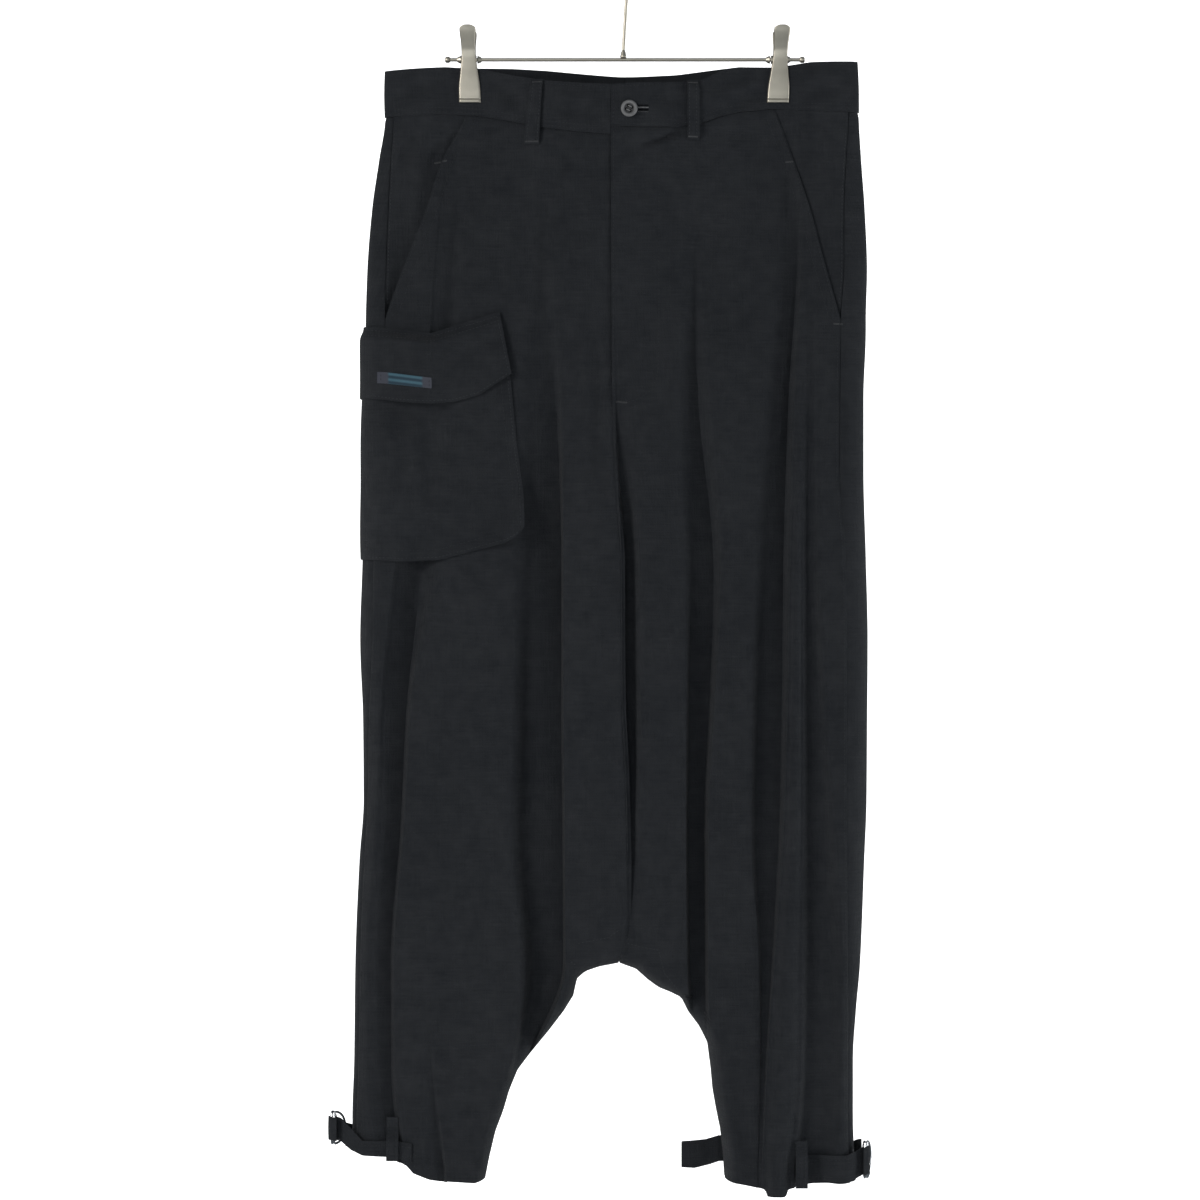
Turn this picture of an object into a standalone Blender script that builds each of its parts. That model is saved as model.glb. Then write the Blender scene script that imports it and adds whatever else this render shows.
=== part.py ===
# Drop-crotch trousers hung by the waistband from a metal hanger with two clips.
# Lengths are millimetres here and metres in the scene. "across" is x, with the wearer's right leg at
# negative x. "drop" is the distance below the crown of the hook, which is the origin. The front faces -Y.
import math

import bmesh
import bpy
import numpy as np
from mathutils import Matrix, Vector

mm = 0.001
setName = "drop_crotch_trousers"
cutterSet = "cutters"

# Driving dimensions
clothWall = 1.5
bandWall = 2.4
seamGap = 0.3
lieGap = 0.6
rodDrop = 110
rodWidth = 3
clipAcross = (-131, 129)
clipPinch = 3.2
pocketEndDrop = 330
bandSeam = 170
crotchDrop = 870
loopWidth = 10
strapWall = 1.5
ringWire = 2
ringReach = 11
buttonWidth = 15
bandProud = 0.4
flyAcross = -12
hookRadius = 22
jawWall = 1.9


def table(names, *rows):
    return dict(zip(names.split(), np.array(rows, float).T))


# The trousers' edge as they hang, and the side seam, which lies a little to the front.
outline = {
    "right": table(
        "drop edge sideSeam",
        (115, -202, -195), (159, -202, -195), (194, -207, -197), (236, -213, -199), (287, -217, -200.5),
        (337, -218.5, -201), (396, -219, -204.5), (455, -219.5, -207), (531, -221, -211), (598, -223, -215),
        (666, -220.5, -216.5), (733, -220, -217), (784, -223.5, -219.5), (870, -227, -223),
        (952, -228, -224.5), (1000, -229.5, -226), (1060, -229, -225.5)),
    "left": table(
        "drop edge sideSeam",
        (105, 195.5, 188), (159, 197, 188), (194, 199, 186), (236, 202, 184), (287, 204, 183.5),
        (337, 203, 183.5), (396, 201, 180), (455, 201, 179), (531, 203, 184), (598, 204.5, 185),
        (666, 204, 185), (733, 203.5, 185), (784, 201.5, 185.5), (870, 198, 186.5), (910, 194.5, 187.5),
        (952, 192, 187.5), (1000, 192, 187.5), (1060, 195, 190)),
}

# Centre seams, half the depth from front to back, and how far in from an edge the cloth rounds.
middle = table(
    "drop front back half round",
    (105, -12, 0, 8, 7), (159, -12, 0, 9, 7), (236, -12, 0, 14, 11), (337, -11.5, 1, 20, 16),
    (455, -10, 2, 24, 20), (531, -6, 2, 27, 22), (598, -1, 2, 29, 24), (666, 2.5, 1, 30, 24),
    (784, 3, 0, 31, 24), (842, 2, -2, 31, 24), (870, -5, -5, 30, 24), (960, -5, -5, 29, 24),
    (1060, -5, -5, 27, 22))

# The crotch and the inside leg, from the point where the four panels meet down to the hem.
insideLeg = {
    "right": table(
        "across drop",
        (-5, 870), (-21, 873), (-33, 877), (-40, 883), (-43, 897), (-51, 910), (-64, 927), (-78, 944),
        (-90, 960), (-97, 977), (-102, 994), (-108.5, 1011), (-113.5, 1032), (-117, 1050)),
    "left": table(
        "across drop",
        (-5, 870), (9, 875), (19, 884), (28, 890.5), (38, 894.5), (47, 899), (53, 911), (62, 923),
        (69, 937), (72, 960), (73.5, 977), (76.5, 994), (80, 1011), (82, 1028), (83.5, 1050)),
}

# The waistband: its top edge and its seam to the panels, at the front and at the back.
waist = {
    "right": table(
        "across frontTop frontSeam backTop backSeam",
        (-203, 120, 159, 120, 159), (-151, 117, 157, 117, 158), (-122, 118, 158, 117, 157.5),
        (-95, 124, 163, 117, 158), (-66, 129, 169, 118, 159), (-36, 132, 173, 120, 160.5),
        (-5, 133.5, 176, 122, 162)),
    "left": table(
        "across frontTop frontSeam backTop backSeam",
        (-14, 133.5, 168.5, 122, 162), (8, 132, 169, 122, 162), (44, 131, 168.5, 121, 161),
        (63, 129, 165.5, 119, 159), (82, 120, 158, 117, 157.5), (97, 117, 154.5, 115.5, 156),
        (125, 117, 152, 117, 155), (156, 113, 154, 113, 154), (197, 112, 155, 112, 155)),
}

# The slanted pocket mouths, from the waistband to the side seam, and the hems.
pocketMouth = {
    "right": table(
        "drop across", (150, -131), (162, -135), (198, -152.5), (238, -166), (295, -189), (330, -201)),
    "left": table(
        "drop across",
        (145, 125), (157, 127), (196, 140.5), (211, 149), (255, 161), (304, 173), (330, 183.5)),
}
hem = {
    "right": table(
        "across drop",
        (-230, 1027), (-219, 1031), (-203, 1031), (-191, 1037), (-178, 1044.5), (-162.5, 1050),
        (-150, 1051.5), (-126, 1051.5), (-117, 1050)),
    "left": table(
        "across drop",
        (83, 1050), (99, 1052), (114, 1059), (122, 1064.5), (130, 1064.5), (136, 1060), (142, 1056),
        (154, 1054), (189, 1054), (196, 1051)),
}

# Folds: where each trough starts and ends across the cloth, and how deep it is, at nine heights down the
# leg. A fold with a negative depth stands out instead. "lean" says where its deepest line lies in it.
foldHeights = np.array([159, 270, 396, 531, 649, 758, 870, 960, 1040], float)


def fold(name, lean, fromSide, toMiddle, depth):
    return {"name": name, "lean": lean, "from": np.array(fromSide, float), "to": np.array(toMiddle, float),
            "depth": np.array(depth, float)}


folds = {
    ("right", "front"): [
        fold("pocketTrough", 0.6,
             (-170, -180, -187, -188, -195, -202, -209, -205, -197),
             (-152, -156, -162, -163, -179, -187, -192, -189, -179),
             (0, 3, 4, 7, 9, 10, 10, 12, 11)),
        fold("hemPleat", 0.5,
             (-156, -152, -150, -150, -152, -155, -153, -156, -155),
             (-136, -136, -136, -138, -140, -142, -141, -143, -146),
             (0, 0, 0, 0, 0, 0, 0, 1, 2.5)),
        fold("innerTrough", 0.45,
             (-95, -97, -96, -95, -99, -99, -104, -125, -138),
             (-60, -60, -57, -54, -51, -53, -54, -106, -125),
             (0, 0, 2, 10, 13, 14, 15, 9, 2)),
    ],
    ("left", "front"): [
        fold("sideTrough", 0.3,
             (168, 166, 160, 164, 166, 170, 176, 173, 172),
             (150, 153, 151, 148, 147, 147, 147, 146, 147),
             (0, 1, 5, 9, 10, 10, 12, 12, 10)),
        fold("boxPleat", 0.5,
             (148, 150, 149, 146, 145.5, 145.5, 145, 144, 142),
             (142, 144, 142, 140.5, 137.5, 132, 125, 121, 117),
             (0, 0, -2, -3, -4, -4, -5, -6, -6)),
        fold("clipTrough", 0.3,
             (140, 142, 139.5, 138.5, 135.5, 130, 123, 119, 115),
             (126, 130, 121, 112, 106, 106, 109, 112, 110),
             (0, 5, 8, 10, 11, 10, 7, 4, 2)),
        fold("innerTrough", 0.4,
             (56, 60, 69, 76, 71, 69, 67, 86, 97),
             (46, 48, 48, 50, 50, 52, 54, 79, 91),
             (0.5, 3, 6, 10, 12, 13, 12, 2, 0)),
        fold("middleTrough", 0.75,
             (2, 2, 3, 9, 15, 17, 15, 78, 89),
             (-10.5, -10.5, -9, -4.5, 3.5, 4.5, 2, 74.5, 86),
             (0, 0, 1, 12, 14, 13, 2, 0, 0)),
    ],
    ("right", "back"): [
        fold("backOuter", 0.5,
             (-165, -168, -170, -172, -176, -180, -186, -190, -192),
             (-142, -143, -142, -144, -148, -154, -162, -168, -172),
             (0, 3, 6, 8, 10, 10, 11, 9, 7)),
        fold("backSeat", 0.4,
             (-112, -112, -108, -104, -104, -108, -114, -142, -148),
             (-84, -84, -80, -76, -76, -80, -84, -122, -132),
             (0, 4, 7, 10, 11, 12, 11, 7, 5)),
        fold("backInner", 0.55,
             (-50, -50, -46, -42, -40, -40, -42, -108, -126),
             (-30, -30, -26, -20, -18, -18, -20, -98, -118),
             (0, 2, 4, 7, 9, 8, 3, 0, 0)),
    ],
    ("left", "back"): [
        fold("backOuter", 0.45,
             (164, 160, 158, 158, 160, 161, 162, 163, 166),
             (142, 138, 134, 134, 136, 138, 139, 140, 144),
             (0, 3, 6, 9, 9, 11, 10, 8, 6)),
        fold("backSeat", 0.6,
             (110, 106, 102, 100, 98, 100, 106, 124, 130),
             (84, 78, 74, 72, 70, 74, 82, 106, 112),
             (0, 4, 8, 9, 12, 11, 10, 8, 6)),
        fold("backInner", 0.5,
             (48, 46, 44, 42, 40, 42, 44, 84, 94),
             (26, 24, 22, 20, 18, 20, 24, 80, 91),
             (0, 3, 5, 8, 8, 9, 6, 0, 0)),
    ],
}
outward = {"right": -1, "left": 1}


# Curves through the tables

def ease(share):
    share = np.clip(share, 0, 1)
    return share * share * (3 - 2 * share)


def smooth(stations, values, at):
    # A cubic through a table that doesn't overshoot it.
    steps = np.diff(stations)
    slopes = np.diff(values) / steps
    tangents = np.concatenate([slopes[:1], np.zeros(len(slopes) - 1), slopes[-1:]])
    turning = slopes[:-1] * slopes[1:] > 0
    both = slopes[:-1] + slopes[1:]
    tangents[1:-1][turning] = 2 * (slopes[:-1] * slopes[1:])[turning] / both[turning]
    at = np.clip(at, stations[0], stations[-1])
    i = np.clip(np.searchsorted(stations, at, side="right") - 1, 0, len(steps) - 1)
    t = (at - stations[i]) / steps[i]
    start = (1 + 2 * t) * (1 - t) ** 2 * values[i] + t * (1 - t) ** 2 * steps[i] * tangents[i]
    end = t * t * (3 - 2 * t) * values[i + 1] + t * t * (t - 1) * steps[i] * tangents[i + 1]
    return start + end


def down(rows, name, drop):
    return smooth(rows["drop"], rows[name], drop)


def over(rows, name, across):
    return np.interp(across, rows["across"], rows[name])


def seamDrop(leg, face, across):
    return over(waist[leg], face + "Seam", across)


# The hanging cloth's surface, as a distance in front of or behind the middle plane

def outlineShare(leg, across, drop):
    # 0 at the side edge, the crotch and the inside leg, 1 where the cloth is as deep as it gets.
    side = outward[leg]
    reach = side * (down(outline[leg], "edge", drop) - across)
    path = insideLeg[leg]
    points = np.stack([path["across"], path["drop"]], -1)
    spot = np.stack(np.broadcast_arrays(across, drop), -1)[..., None, :]
    run = points[1:] - points[:-1]
    share = np.clip(((spot - points[:-1]) * run).sum(-1) / (run * run).sum(-1), 0, 1)
    away = np.linalg.norm(spot - points[:-1] - share[..., None] * run, axis=-1).min(-1)
    return np.clip(np.minimum(reach, away) / down(middle, "round", drop), 0, 1)


def waistDepth(face, across):
    # The clips pinch the band. Between them it hangs slack, and beyond them it opens a little.
    left, right = clipAcross
    between = np.clip((across - left - 8) / (right - left - 16), 0, 1)
    slack = {"front": 15, "back": 13}[face] * np.sin(np.pi * between) ** 2
    beyond = np.clip((np.maximum(left - across, across - right) - 10) / 58, 0, 1)
    return clipPinch + slack + 3.5 * np.sin(np.pi * beyond)


def foldDepth(leg, face, across, drop):
    side = outward[leg]
    depth = np.zeros(np.broadcast(across, drop).shape)
    for each in folds[leg, face]:
        start = side * smooth(foldHeights, each["from"], drop)
        end = side * smooth(foldHeights, each["to"], drop)
        lowest = start + (end - start) * each["lean"]
        place = side * across
        share = np.where(place > lowest, (start - place) / (start - lowest), (place - end) / (lowest - end))
        depth = depth + smooth(foldHeights, each["depth"], drop) * ease(share)
    return depth


def clothDepth(leg, face, across, drop):
    settled = ease((drop - 159) / 230)
    hang = down(middle, "half", drop)
    pinched = waistDepth(face, across)
    deep = pinched + (hang - pinched) * settled - foldDepth(leg, face, across, drop) * settled ** 0.5
    share = outlineShare(leg, across, drop)
    deep = np.sqrt(1 - (1 - share) ** 2) * deep
    return -deep if face == "front" else deep


# Panels are grids: rows run from the side to the middle, columns follow the folds down

upperRows = 5
middleRows = 13
lowerRows = 7
crotchRow = upperRows + middleRows
rowCount = upperRows + middleRows + lowerRows + 1
sideCrotchDrop = 826
columnStep = 22
innerLine = 21
wideHalf = 13
roundingSteps = (18, 7, 1.6)
closest = 1.1
wrapShares = (1, 0.35)
capShares = (0, 0.1, 0.4)


def insidePath(leg, face, row):
    # Down the centre seam to the crotch, then along the inside leg to the hem.
    if row <= crotchRow:
        drop = bandSeam + (crotchDrop - bandSeam) * row / crotchRow
        across = down(middle, face, drop)
        return float(across), float(drop if row else seamDrop(leg, face, across))
    path = insideLeg[leg]
    steps = np.hypot(np.diff(path["across"]), np.diff(path["drop"]))
    length = np.concatenate([[0], np.cumsum(steps)])
    at = length[-1] * (row - crotchRow) / lowerRows
    return float(np.interp(at, length, path["across"])), float(np.interp(at, length, path["drop"]))


def outerDrop(leg, row):
    edge = down(outline[leg], "sideSeam", 160)
    top = seamDrop(leg, "front", edge)
    bottom = over(hem[leg], "drop", down(outline[leg], "sideSeam", 1040))
    stations = [top, pocketEndDrop, sideCrotchDrop, bottom]
    return float(np.interp(row, [0, upperRows, crotchRow, rowCount - 1], stations))


def columnLines(leg, face):
    # Each column is a function of the drop. They run from the side towards the middle.
    side = outward[leg]
    lines = []

    def between(first, second, count):
        for i in range(1, count + 1):
            share = i / (count + 1)
            lines.append(lambda drop, share=share: first(drop) + (second(drop) - first(drop)) * share)

    def foldLine(each, share):
        return lambda drop: (smooth(foldHeights, each["from"], drop) * (1 - share)
                             + smooth(foldHeights, each["to"], drop) * share)

    def capLine(share):
        return lambda drop: down(outline[leg], "edge", drop) - side * share * down(middle, "round", drop)

    def sideLine(drop):
        mouth = down(pocketMouth[leg], "across", drop)
        return mouth if drop < pocketEndDrop else down(outline[leg], "sideSeam", drop)

    def centreLine(drop):
        return down(middle, face, drop) + side * innerLine

    if face == "front":
        lines.append(sideLine)
    else:
        lines += [capLine(share) for share in capShares] + [capLine(1)]
    for each in folds[leg, face]:
        last, first = lines[-1], foldLine(each, 0)
        between(last, first, int(abs(first(600) - last(600)) // columnStep))
        width = abs(each["from"][4] - each["to"][4])
        lean = each["lean"]
        lines.append(first)
        if width * lean > wideHalf:
            lines.append(foldLine(each, lean * 0.5))
        lines.append(foldLine(each, lean))
        if width * (1 - lean) > wideHalf:
            lines.append(foldLine(each, (1 + lean) * 0.5))
        lines.append(foldLine(each, 1))
    if face == "back" or leg == "right":
        between(lines[-1], centreLine, int(abs(lines[-1](600) - centreLine(600)) // columnStep))
    return lines


def spread(places, least):
    # Columns that a narrowing leg pushes together keep this distance. Places fall from the side inwards.
    for i in range(len(places) - 2, 0, -1):
        places[i] = max(places[i], places[i + 1] + least)
    for i in range(1, len(places) - 1):
        places[i] = min(places[i], places[i - 1] - least)
    return places


def panelGrid(leg, face):
    side = outward[leg]
    lines = columnLines(leg, face)
    insets = roundingSteps if face == "back" or leg == "right" else roundingSteps[1:]
    grid = []
    for row in range(rowCount):
        outDrop = outerDrop(leg, row)
        innerAcross, innerDrop = insidePath(leg, face, row)
        share = row / (rowCount - 1)
        outAcross = float(lines[0](outDrop))
        edges = [(outAcross, seamDrop(leg, face, outAcross), over(hem[leg], "drop", outAcross)),
                 (innerAcross, seamDrop(leg, face, innerAcross), over(hem[leg], "drop", innerAcross))]

        def rowDrop(across):
            along = np.clip((across - outAcross) / (innerAcross - outAcross), 0, 1)
            drop = outDrop + (innerDrop - outDrop) * along
            top = edges[0][1] + (edges[1][1] - edges[0][1]) * along
            bottom = edges[0][2] + (edges[1][2] - edges[0][2]) * along
            drop += (seamDrop(leg, face, across) - top) * (1 - share) ** 6
            return drop + (over(hem[leg], "drop", across) - bottom) * share ** 10

        places = []
        for line in lines:
            drop = outDrop
            for _ in range(4):
                drop = float(rowDrop(line(drop)))
            places.append(side * float(line(drop)))
        places += [side * innerAcross + inset for inset in insets] + [side * innerAcross]
        across = side * np.array(spread(places, closest))
        drops = np.array([rowDrop(x) for x in across])
        grid.append(np.stack([across, clothDepth(leg, face, across, drops), -drops], -1))
    grid = np.array(grid)
    if face == "back":
        grid = np.concatenate([wrapColumns(leg, grid), grid], 1)
    return grid


def wrapColumns(leg, grid):
    # The back panel comes round the side edge to the side seam, which lies on the front.
    side = outward[leg]
    columns = []
    for share in wrapShares:
        drops = -grid[:, 0, 2]
        edge = down(outline[leg], "edge", drops)
        across = edge + (down(outline[leg], "sideSeam", drops) - edge) * share
        columns.append(np.stack([across, clothDepth(leg, "front", across, drops), -drops], -1))
    return np.stack(columns, 1)


def cellNormals(grid, flip):
    # The sum of the normals of the faces round each point.
    total = np.zeros_like(grid)
    a, b, c, d = grid[:-1, :-1], grid[:-1, 1:], grid[1:, 1:], grid[1:, :-1]
    face = np.cross(c - a, d - b) * flip
    for rows, columns in ((slice(0, -1), slice(0, -1)), (slice(0, -1), slice(1, None)),
                          (slice(1, None), slice(1, None)), (slice(1, None), slice(0, -1))):
        total[rows, columns] += face
    return total


def unit(vectors):
    return vectors / np.linalg.norm(vectors, axis=-1, keepdims=True)


def sharedNormals(grids, flips):
    # Panels that meet at a seam take the same normal there, so that their edges lie face to face.
    totals = {}
    parts = {name: cellNormals(grid, flips[name]) for name, grid in grids.items()}
    for name, grid in grids.items():
        for point, normal in zip(grid.reshape(-1, 3), parts[name].reshape(-1, 3)):
            key = tuple(np.round(point, 2))
            totals[key] = totals.get(key, 0) + normal
    return {name: unit(np.array([totals[tuple(np.round(point, 2))] for point in grid.reshape(-1, 3)])
                       .reshape(grid.shape))
            for name, grid in grids.items()}


def seamed(leg, face, grid):
    # Half the seam's gap comes off each edge.
    half = seamGap / 2
    side = outward[leg]
    grid = grid.copy()
    outer = unit(grid[:, 1] - grid[:, 0]) * half
    inner = unit(grid[:, -2] - grid[:, -1]) * half
    inner[:crotchRow + 1] = (side * half, 0, 0)
    inner[crotchRow, 1] = -half if face == "front" else half
    grid[:, 0] += outer
    grid[:, -1] += inner
    grid[0, :, 2] -= half
    return grid


# Solids

def material(name, colour, roughness, metallic=0.0):
    shader = bpy.data.materials.new(name)
    shader.use_nodes = True
    socket = shader.node_tree.nodes["Principled BSDF"].inputs
    socket["Base Color"].default_value = (*colour, 1)
    socket["Roughness"].default_value = roughness
    socket["Metallic"].default_value = metallic
    return shader


def keep(name, mesh, shader):
    made = bpy.data.objects.new(name, mesh)
    mesh.materials.append(shader)
    bpy.data.collections[setName].objects.link(made)
    return made


def shell(name, outer, inner, shader):
    # A wall between two grids of points of the same size.
    rows, columns = outer.shape[:2]
    bm = bmesh.new()
    sheets = [[[bm.verts.new(point * mm) for point in line] for line in sheet] for sheet in (outer, inner)]
    for sheet in sheets:
        for i in range(rows - 1):
            for j in range(columns - 1):
                bm.faces.new((sheet[i][j], sheet[i][j + 1], sheet[i + 1][j + 1], sheet[i + 1][j]))
    rim = [(0, j) for j in range(columns)] + [(i, columns - 1) for i in range(1, rows)]
    rim += [(rows - 1, j) for j in range(columns - 2, -1, -1)] + [(i, 0) for i in range(rows - 2, 0, -1)]
    for (i, j), (k, l) in zip(rim, rim[1:] + rim[:1]):
        bm.faces.new((sheets[0][i][j], sheets[1][i][j], sheets[1][k][l], sheets[0][k][l]))
    bmesh.ops.recalc_face_normals(bm, faces=bm.faces)
    mesh = bpy.data.meshes.new(name)
    bm.to_mesh(mesh)
    bm.free()
    return keep(name, mesh, shader)


def wire(name, points, width, shader, closed=False):
    curve = bpy.data.curves.new(name, "CURVE")
    curve.dimensions = "3D"
    curve.bevel_depth = width / 2 * mm
    curve.bevel_resolution = 2
    curve.use_fill_caps = True
    spline = curve.splines.new("POLY")
    spline.points.add(len(points) - 1)
    for spot, point in zip(spline.points, points):
        spot.co = (*(Vector(point) * mm), 1)
    spline.use_cyclic_u = closed
    curve.materials.append(shader)
    made = bpy.data.objects.new(name, curve)
    bpy.data.collections[setName].objects.link(made)
    return made


class Leg:
    # The cloth of one leg as a grid on which other pieces lie. Its columns run from the middle of the back
    # round the side to the middle of the front, and a place may lie between two columns.
    def __init__(self, back, front, backNormals, frontNormals):
        self.grid = np.concatenate([back[:, ::-1], front[:, 1:]], 1)
        self.normals = np.concatenate([backNormals[:, ::-1], frontNormals[:, 1:]], 1)
        self.sideSeam = back.shape[1] - 1
        self.edge = self.sideSeam - len(wrapShares)

    def at(self, column, drop):
        low = min(int(column), self.grid.shape[1] - 2)
        share = column - low
        found = []
        for values in (self.grid, self.normals):
            pair = [np.array([np.interp(drop, -self.grid[:, j, 2], values[:, j, k]) for k in range(3)])
                    for j in (low, low + 1)]
            found.append(pair[0] * (1 - share) + pair[1] * share)
        return found[0], unit(found[1])

    def columnAt(self, face, across, drop):
        columns = range(self.edge, self.grid.shape[1]) if face == "front" else range(self.edge + 1)
        places = np.array([self.at(j, drop)[0][0] for j in columns])
        order = np.argsort(places)
        return float(np.interp(across, places[order], np.array(columns, float)[order]))

    def columnsBetween(self, first, last):
        # The ends, and the whole columns between them that aren't close to an end.
        whole = [j for j in range(math.ceil(min(first, last)), math.floor(max(first, last)) + 1)
                 if 0.25 < abs(j - first) and 0.25 < abs(j - last)]
        return [first] + (whole if first < last else whole[::-1]) + [last]


def layOn(name, leg, columns, drops, lift, wall, shader):
    # A piece that follows the cloth's own points. Columns and drops are rows of places on the leg.
    spots = [[leg.at(c, d) for c, d in zip(*line)] for line in zip(columns, drops)]
    points = np.array([[spot[0] for spot in line] for line in spots])
    normals = np.array([[spot[1] for spot in line] for line in spots])
    lift = np.broadcast_to(lift, points.shape[:2])[..., None]
    return shell(name, points + normals * (lift + wall), points + normals * lift, shader)


def clothPoints(leg, face, across, drops):
    # Points of the cloth's own curve with their normals, for pieces near the waist.
    step = 0.5
    points = np.stack([across, clothDepth(leg, face, across, drops), -drops], -1)
    acrossSlope = (clothDepth(leg, face, across + step, drops) - clothDepth(leg, face, across - step, drops))
    dropSlope = (clothDepth(leg, face, across, drops + step) - clothDepth(leg, face, across, drops - step))
    toward = -1 if face == "front" else 1
    normals = np.stack([-acrossSlope, np.full_like(across, 2 * step), dropSlope], -1) * toward
    return points, unit(normals)


def curved(name, leg, face, across, drops, lift, wall, shader):
    points, normals = clothPoints(leg, face, across, drops)
    lift = np.broadcast_to(lift, points.shape[:2])[..., None]
    return shell(name, points + normals * (lift + wall), points + normals * lift, shader)


def buildPanels(shader):
    grids = {(leg, face): panelGrid(leg, face) for leg in outward for face in ("front", "back")}
    flips = {(leg, face): outward[leg] * (1 if face == "front" else -1) for leg, face in grids}
    normals = sharedNormals(grids, flips)
    for (leg, face), grid in grids.items():
        edge = seamed(leg, face, grid)
        shell(f"{face}_{leg}", edge, edge - normals[leg, face] * clothWall, shader)
    return {leg: Leg(grids[leg, "back"], grids[leg, "front"], normals[leg, "back"], normals[leg, "front"])
            for leg in outward}


def buildHipPieces(shader):
    # Behind each pocket mouth a hip piece runs from under the front panel to under the back panel.
    under, cover = 5, 0.5
    for leg, side in outward.items():
        shares = np.array([0, 0.08, 0.16, 0.26, 0.38, 0.52, 0.68, 0.84, 1])[None, :]
        top = seamDrop(leg, "front", side * 165) + 2
        drops = top + (pocketEndDrop - 6 - top) * np.linspace(0, 1, 7)[:, None] + 0 * shares
        inner = down(pocketMouth[leg], "across", drops) - side * under
        outer = down(outline[leg], "sideSeam", drops) + side * cover
        across = inner + (outer - inner) * shares
        lift = -2 * clothWall - 1.1
        curved(f"pocket_facing_{leg}", leg, "front", across, drops, lift, clothWall, shader)


def buildUnderlap(shader):
    # The strip behind the fly, on which the button is sewn.
    top, bottom, fromAcross, toAcross = 137, 392, -24, 28
    columns = np.array([fromAcross, -12, 2, 15, toAcross], float)
    drops = np.linspace(top, bottom, 9)
    across, drops = np.meshgrid(columns, drops)
    lift = -bandWall - clothWall - 0.6
    curved("fly_underlap", "left", "front", across, drops, lift, clothWall, shader)


def buildWaistband(shader):
    bandRows = np.array([0, 0.5, 1])
    places = np.array([36, 58, 78, 98, 112, 121, 131, 140, 152, 166, 180, 190], float)
    for leg, side in outward.items():
        edge = side * float(down(outline[leg], "edge", 140))
        rounded = [edge - 5, edge - 1.5]
        front = np.concatenate([[side * flyAcross + seamGap / 2], [15] * (side > 0), places, rounded])
        back = np.concatenate([[edge], rounded[::-1], places[::-1], [15, seamGap / 2]])
        columns = []
        for face, reach in (("front", front), ("back", back)):
            for q in reach:
                across = side * q
                top = over(waist[leg], face + "Top", across)
                bottom = seamDrop(leg, face, across) - seamGap / 2
                drops = top + (bottom - top) * bandRows
                flat = np.full(3, across)
                columns.append(np.stack([flat, clothDepth(leg, face, flat, drops), -drops], -1))
        grid = np.stack(columns, 1)
        normals = unit(cellNormals(grid, -side))
        shell(f"waistband_{leg}", grid + normals * bandProud, grid - normals * (bandWall - bandProud), shader)


def buildBeltLoops(shader):
    # name, leg, face, across at the top and at the bottom, drop at the top and at the bottom
    loops = (
        ("front_right", "right", "front", -73.7, -78, 127, 180),
        ("front_left", "left", "front", 56.8, 57, 128, 176),
        ("back_right", "right", "back", -96, -97, 119, 166),
        ("back_middle", "left", "back", 0, 0, 123, 170),
        ("back_left", "left", "back", 96, 97, 118, 165))
    lifts = np.array([0.9, 2.6, 3.2, 3.2, 2.6, 0.9])[:, None]
    shares = np.linspace(0, 1, 6)[:, None]
    for name, leg, face, topAcross, bottomAcross, top, bottom in loops:
        across = topAcross + (bottomAcross - topAcross) * shares + np.array([-loopWidth / 2, loopWidth / 2])
        drops = top + (bottom - top) * shares + np.zeros(2)
        curved(f"belt_loop_{name}", leg, face, across, drops, lifts, clothWall, shader)


# The cargo pocket: the bottom of the bag, and the flap's edges, across the right front.
bagTop = 358
bagBottom = table(
    "across drop",
    (-225, 531), (-189, 533), (-156, 532), (-122, 523), (-95, 517), (-90, 514.5), (-84, 505))
bagEdge = table("drop across", (340, -101), (375, -96), (430, -91), (472, -85.5), (506, -84), (520, -86))
flapTop = table("across drop", (-225, 335), (-162, 342), (-105, 324))
flapBottom = table(
    "across drop", (-225, 393), (-189, 398), (-164, 399.5), (-143, 398), (-122, 392), (-95, 375))
flapEdge = table("drop across", (324, -105), (375, -95))
pocketBackReach = -196
bagLift = lieGap + 0.4


def pocketGrid(leg, edgeRows, top, bottom, rows):
    # From the pocket's front edge round the side seam and the edge to its end on the back. The whole columns
    # that the slanted edge passes give way to it.
    starts = [leg.columnAt("front", *spot) for spot in zip(edgeRows["across"], edgeRows["drop"])]
    end = leg.columnAt("back", pocketBackReach, 430)
    whole = list(range(math.floor(max(starts)), math.floor(end), -1))
    grid = []
    for share in np.linspace(0, 1, rows):
        line = []
        for target in [None] + whole + [end]:
            across = leg.at(target, 430)[0][0] if line else edgeRows["across"].max()
            drop = float(top(across) + (bottom(across) - top(across)) * share)
            if line:
                column = min(target, line[-1][0] - 0.25)
            else:
                start = float(np.interp(drop, edgeRows["drop"], edgeRows["across"]))
                column = leg.columnAt("front", start, drop)
            line.append((column, drop))
        grid.append(line)
    grid = np.array(grid)
    return grid[..., 0], grid[..., 1]


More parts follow.
